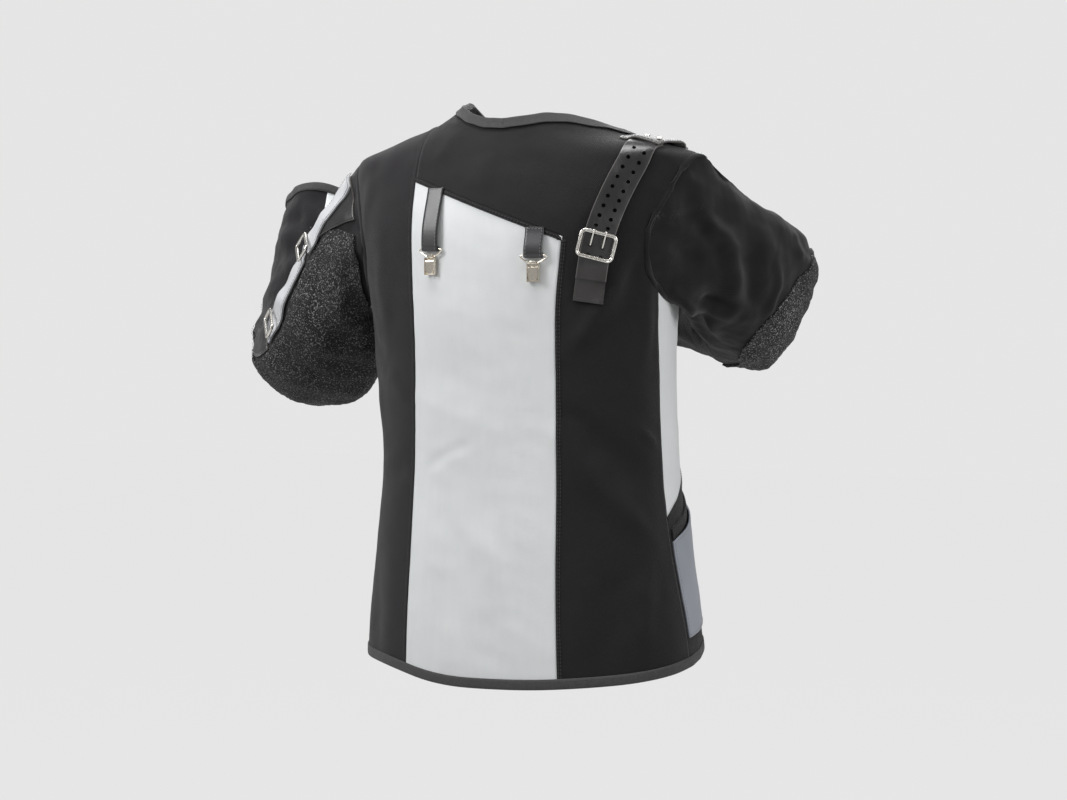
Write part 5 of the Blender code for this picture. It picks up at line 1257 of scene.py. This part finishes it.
def lathe(name, look, middle, way, profile, steps=28):
    # a turned piece: profile of (radius, height)
    turn = Vector(way).to_track_quat("Z", "Y").to_matrix()
    bm = bmesh.new()
    rings = []
    for radius, height in profile:
        rings.append([bm.verts.new(Vector(middle) + turn @ Vector((radius * math.cos(a), radius * math.sin(a), height)))
                      for a in (2 * math.pi * k / steps for k in range(steps))])
    for low, high in zip(rings, rings[1:]):
        for k in range(steps):
            bm.faces.new((low[k], low[(k + 1) % steps], high[(k + 1) % steps], high[k]))
    bm.faces.new(rings[0][::-1])
    bm.faces.new(rings[-1])
    bmesh.ops.recalc_face_normals(bm, faces=bm.faces)
    mesh = bpy.data.meshes.new(name)
    bm.to_mesh(mesh)
    bm.free()
    item = linked(name, mesh)
    finished(item, look)
    return item


buttonLook = {"radius": 0.0100, "thick": 0.0030, "hole": 0.0011, "spread": 0.0019}


def makeButtons():
    for n in range(1, 6):
        source = f"button_{n}"
        middle, ways, _ = flatFrame(source)
        way = ways[2] if ways[2][1] < 0 else -ways[2]
        r, t = buttonLook["radius"], buttonLook["thick"] / 2
        profile = ((r * 0.55, -t), (r * 0.86, -t), (r * 0.98, -t * 0.4), (r, 0.0), (r * 0.97, t * 0.75), (r * 0.90, t), (r * 0.80, t * 0.9),
                   (r * 0.70, t * 0.30), (r * 0.30, t * 0.15), (0.0004, t * 0.12))
        item = lathe(source + "_piece", "plain_button", middle, way, profile)
        bm = bmesh.new()
        turn = Vector(way).to_track_quat("Z", "Y").to_matrix()
        for sx in (-1, 1):
            for sy in (-1, 1):
                spot = Vector(middle) + turn @ Vector((sx, sy, 0)) * buttonLook["spread"]
                bmesh.ops.create_cone(bm, cap_ends=True, segments=12, radius1=buttonLook["hole"], radius2=buttonLook["hole"],
                                      depth=0.02, matrix=Matrix.Translation(spot) @ turn.to_4x4())
        mesh = bpy.data.meshes.new("punch")
        bm.to_mesh(mesh)
        bm.free()
        punch = linked("punch", mesh)
        step = item.modifiers.new("holes", "BOOLEAN")
        step.operation, step.solver, step.object = "DIFFERENCE", "EXACT", punch
        fine = evaluated(item)
        item.modifiers.clear()
        item.data = fine
        item.data.set_sharp_from_angle(angle=math.radians(40))
        bpy.data.objects.remove(punch, do_unlink=True)
        made[source] = item
        for sy in (-1, 1):  # sewn on with two short bars of thread
            spot = np.array(Vector(middle) + turn @ Vector((0, sy, 0)) * buttonLook["spread"]) + np.array(way) * (t * 0.25)
            stitchSets["black_thread"].append((spot, np.array(turn @ Vector((1, 0, 0))), np.array(way)))


def makeRivets():
    for n in (1, 2):
        middle, ways, _ = flatFrame(f"strap_rivet_{n}")
        way = ways[2] if ways[2][2] > 0 else -ways[2]
        profile = ((0.0036, -0.0007), (0.0036, -0.0003), (0.0032, 0.0003), (0.0022, 0.0007), (0.0010, 0.00085), (0.0002, 0.0009))
        made[f"strap_rivet_{n}"] = lathe(f"strap_rivet_{n}_piece", "nickel", middle, way, profile, 24)


makeBuckle()
makeButtons()
makeRivets()
for source in ("buckle_prong_1", "buckle_prong_2", "arm_buckle_upper", "arm_buckle_lower"):
    hardPiece(source, "nickel", 2)
for side in ("left", "right"):
    hardPiece(f"clip_loop_{side}", "clip_nickel", 2)
    for source in (f"clip_body_{side}", f"clip_lever_{side}"):
        node = nodes[source]
        node.data.materials.clear()
        node.data.materials.append(finishes["clip_nickel"])
        weld = node.modifiers.new("weld", "WELD")
        weld.merge_threshold = 1e-5
        bevel = node.modifiers.new("edges", "BEVEL")
        bevel.width = 0.00022
        bevel.segments = 2
        bevel.limit_method = "ANGLE"
        bevel.angle_limit = math.radians(50)
        bevel.harden_normals = False
print("metal made")


# ---- stitching on the trims
def trimStitches():
    rows = {
        "elbow_patch_right": ("black_thread", -0.0042), "elbow_patch_left": ("black_thread", -0.0042),
        "pocket_right": ("grey_thread", -0.0032), "arm_strap_base": ("black_thread", -0.0030),
        "elbow_tab": ("grey_thread", -0.0028), "strap_anchor": ("black_thread", -0.0030),
        "arm_strap_upper": ("grey_thread", -0.0030), "arm_strap_lower": ("grey_thread", -0.0030),
        "hanger_left": ("grey_thread", -0.0022), "hanger_right": ("grey_thread", -0.0022),
        "strap_base": ("black_thread", -0.0030), "pocket_welt": ("black_thread", -0.0024),
    }
    for source, (thread, offset) in rows.items():
        mesh = made[source].data
        edge = outerSkin(mesh)[2]
        points = coordsOf(mesh)[edge]
        path = evenly(chained(points), 0.003, 1)
        ground = Ground(source)
        middle = points.mean(0)
        for place, along, across, way in frames(evenly(path, stitchLook["pitch"], 0), ground, middle):
            inward = across if across @ (middle - place) > 0 else -across
            spot = ground.under(place - inward * offset, way, 0.004)
            stitchSets[thread].append((spot, along, way))


trimStitches()
sewStitches()
print("stitches sewn")

# ---- what each piece rides on and stands for, and how each was cut: width and length, cloth area, how it is held
cuts = {
    "back_left": (0.205, 0.690, 0.1040, "hung"), "back_centre": (0.215, 0.620, 0.1180, "hung"),
    "back_right_yoke": (0.360, 0.710, 0.1245, "hung"), "front_left": (0.330, 0.690, 0.1890, "hung"),
    "front_right_upper": (0.270, 0.500, 0.0945, "hung"), "front_right_lower": (0.270, 0.360, 0.0785, "hung"),
    "sleeve_right_back": (0.370, 0.580, 0.1533, "hung"), "sleeve_right_front": (0.190, 0.420, 0.0610, "hung"),
    "sleeve_left_back": (0.270, 0.630, 0.1190, "hung"), "sleeve_left_front": (0.290, 0.450, 0.0995, "hung"),
    "neck_binding": (0.046, 0.530, 0.0235, "folded"), "hem_binding": (0.031, 1.130, 0.0345, "folded"),
    "cuff_binding_right": (0.031, 0.400, 0.0119, "folded"), "cuff_binding_left": (0.031, 0.370, 0.0109, "folded"),
    "elbow_patch_right": (0.185, 0.240, 0.0355, "laid"), "elbow_patch_left": (0.245, 0.375, 0.0755, "laid"),
    "pocket_right": (0.115, 0.175, 0.0170, "laid"), "pocket_welt": (0.018, 0.118, 0.0018, "laid"),
    "strap_base": (0.037, 0.101, 0.0036, "laid"), "strap_anchor": (0.066, 0.082, 0.0051, "laid"),
    "shoulder_strap": (0.0365, 0.215, 0.0076, "laid"),
    "arm_strap_base": (0.060, 0.095, 0.0035, "laid"), "arm_strap_upper": (0.031, 0.112, 0.0034, "laid"),
    "arm_strap_lower": (0.031, 0.152, 0.0045, "laid"), "elbow_tab": (0.046, 0.078, 0.0032, "laid"),
    "hanger_left": (0.024, 0.094, 0.0022, "hung"), "hanger_right": (0.024, 0.052, 0.0012, "hung"),
}
sewnOn = {
    "back_left": ("seam_left_long", "seam_shoulder_left"), "front_left": ("seam_side_left",),
    "back_right_yoke": ("seam_right_long", "seam_side_right"), "front_right_upper": ("seam_shoulder_right", "seam_front_slant"),
    "sleeve_right_back": ("armhole_right_back",), "sleeve_right_front": ("armhole_right_front",),
    "sleeve_left_back": ("armhole_left_back",), "sleeve_left_front": ("armhole_left_front",),
}
threads = {"back_right_yoke": "stitches_black", "pocket_right": "stitches_grey", "front_right_upper": "stitches_white"}
liesOn = {"elbow_patch_right": "sleeve_right_back", "elbow_patch_left": "sleeve_left_back", "pocket_right": "front_right_lower",
          "shoulder_strap": "strap_base", "strap_base": "back_right_yoke", "strap_anchor": "back_right_yoke"}
for source, item in made.items():
    if source.startswith(("seam_", "armhole_")):
        continue
    body = "jacket"
    if source.startswith("clip_loop"):
        body = source.replace("clip_loop", "clip")
    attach(item, body)
    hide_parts(source)
    source == "shoulder_strap"
for source, (width, length, area, held) in cuts.items():
    pieces = [made[name] for name in sewnOn.get(source, ())]
    if source in threads:
        pieces.append(bpy.data.objects[threads[source]])
    rests = [made[liesOn[source]]] if source in liesOn else []

ground = bpy.data.meshes.new("floor")
corners = [(x, y, light["floor"]) for x, y in ((-9, -9), (9, -9), (9, 9), (-9, 9))]
ground.from_pydata(corners, [], [(0, 1, 2, 3)])
floor = linked("floor", ground)
paint = Finish("paleFloor", Roughness=0.9, Specular_IOR_Level=0.0, Emission_Strength=1.0)
dust = paint.noise(0.6, 2.0)
paint.wear(Base_Color=paint.mix(dust, (0.015, 0.015, 0.015), (0.02, 0.02, 0.02)),
           Emission_Color=paint.mix(dust, [light["backdrop"] - 0.012] * 3, [light["backdrop"] - 0.008] * 3))
ground.materials.append(paint.material)
floor.visible_diffuse = False
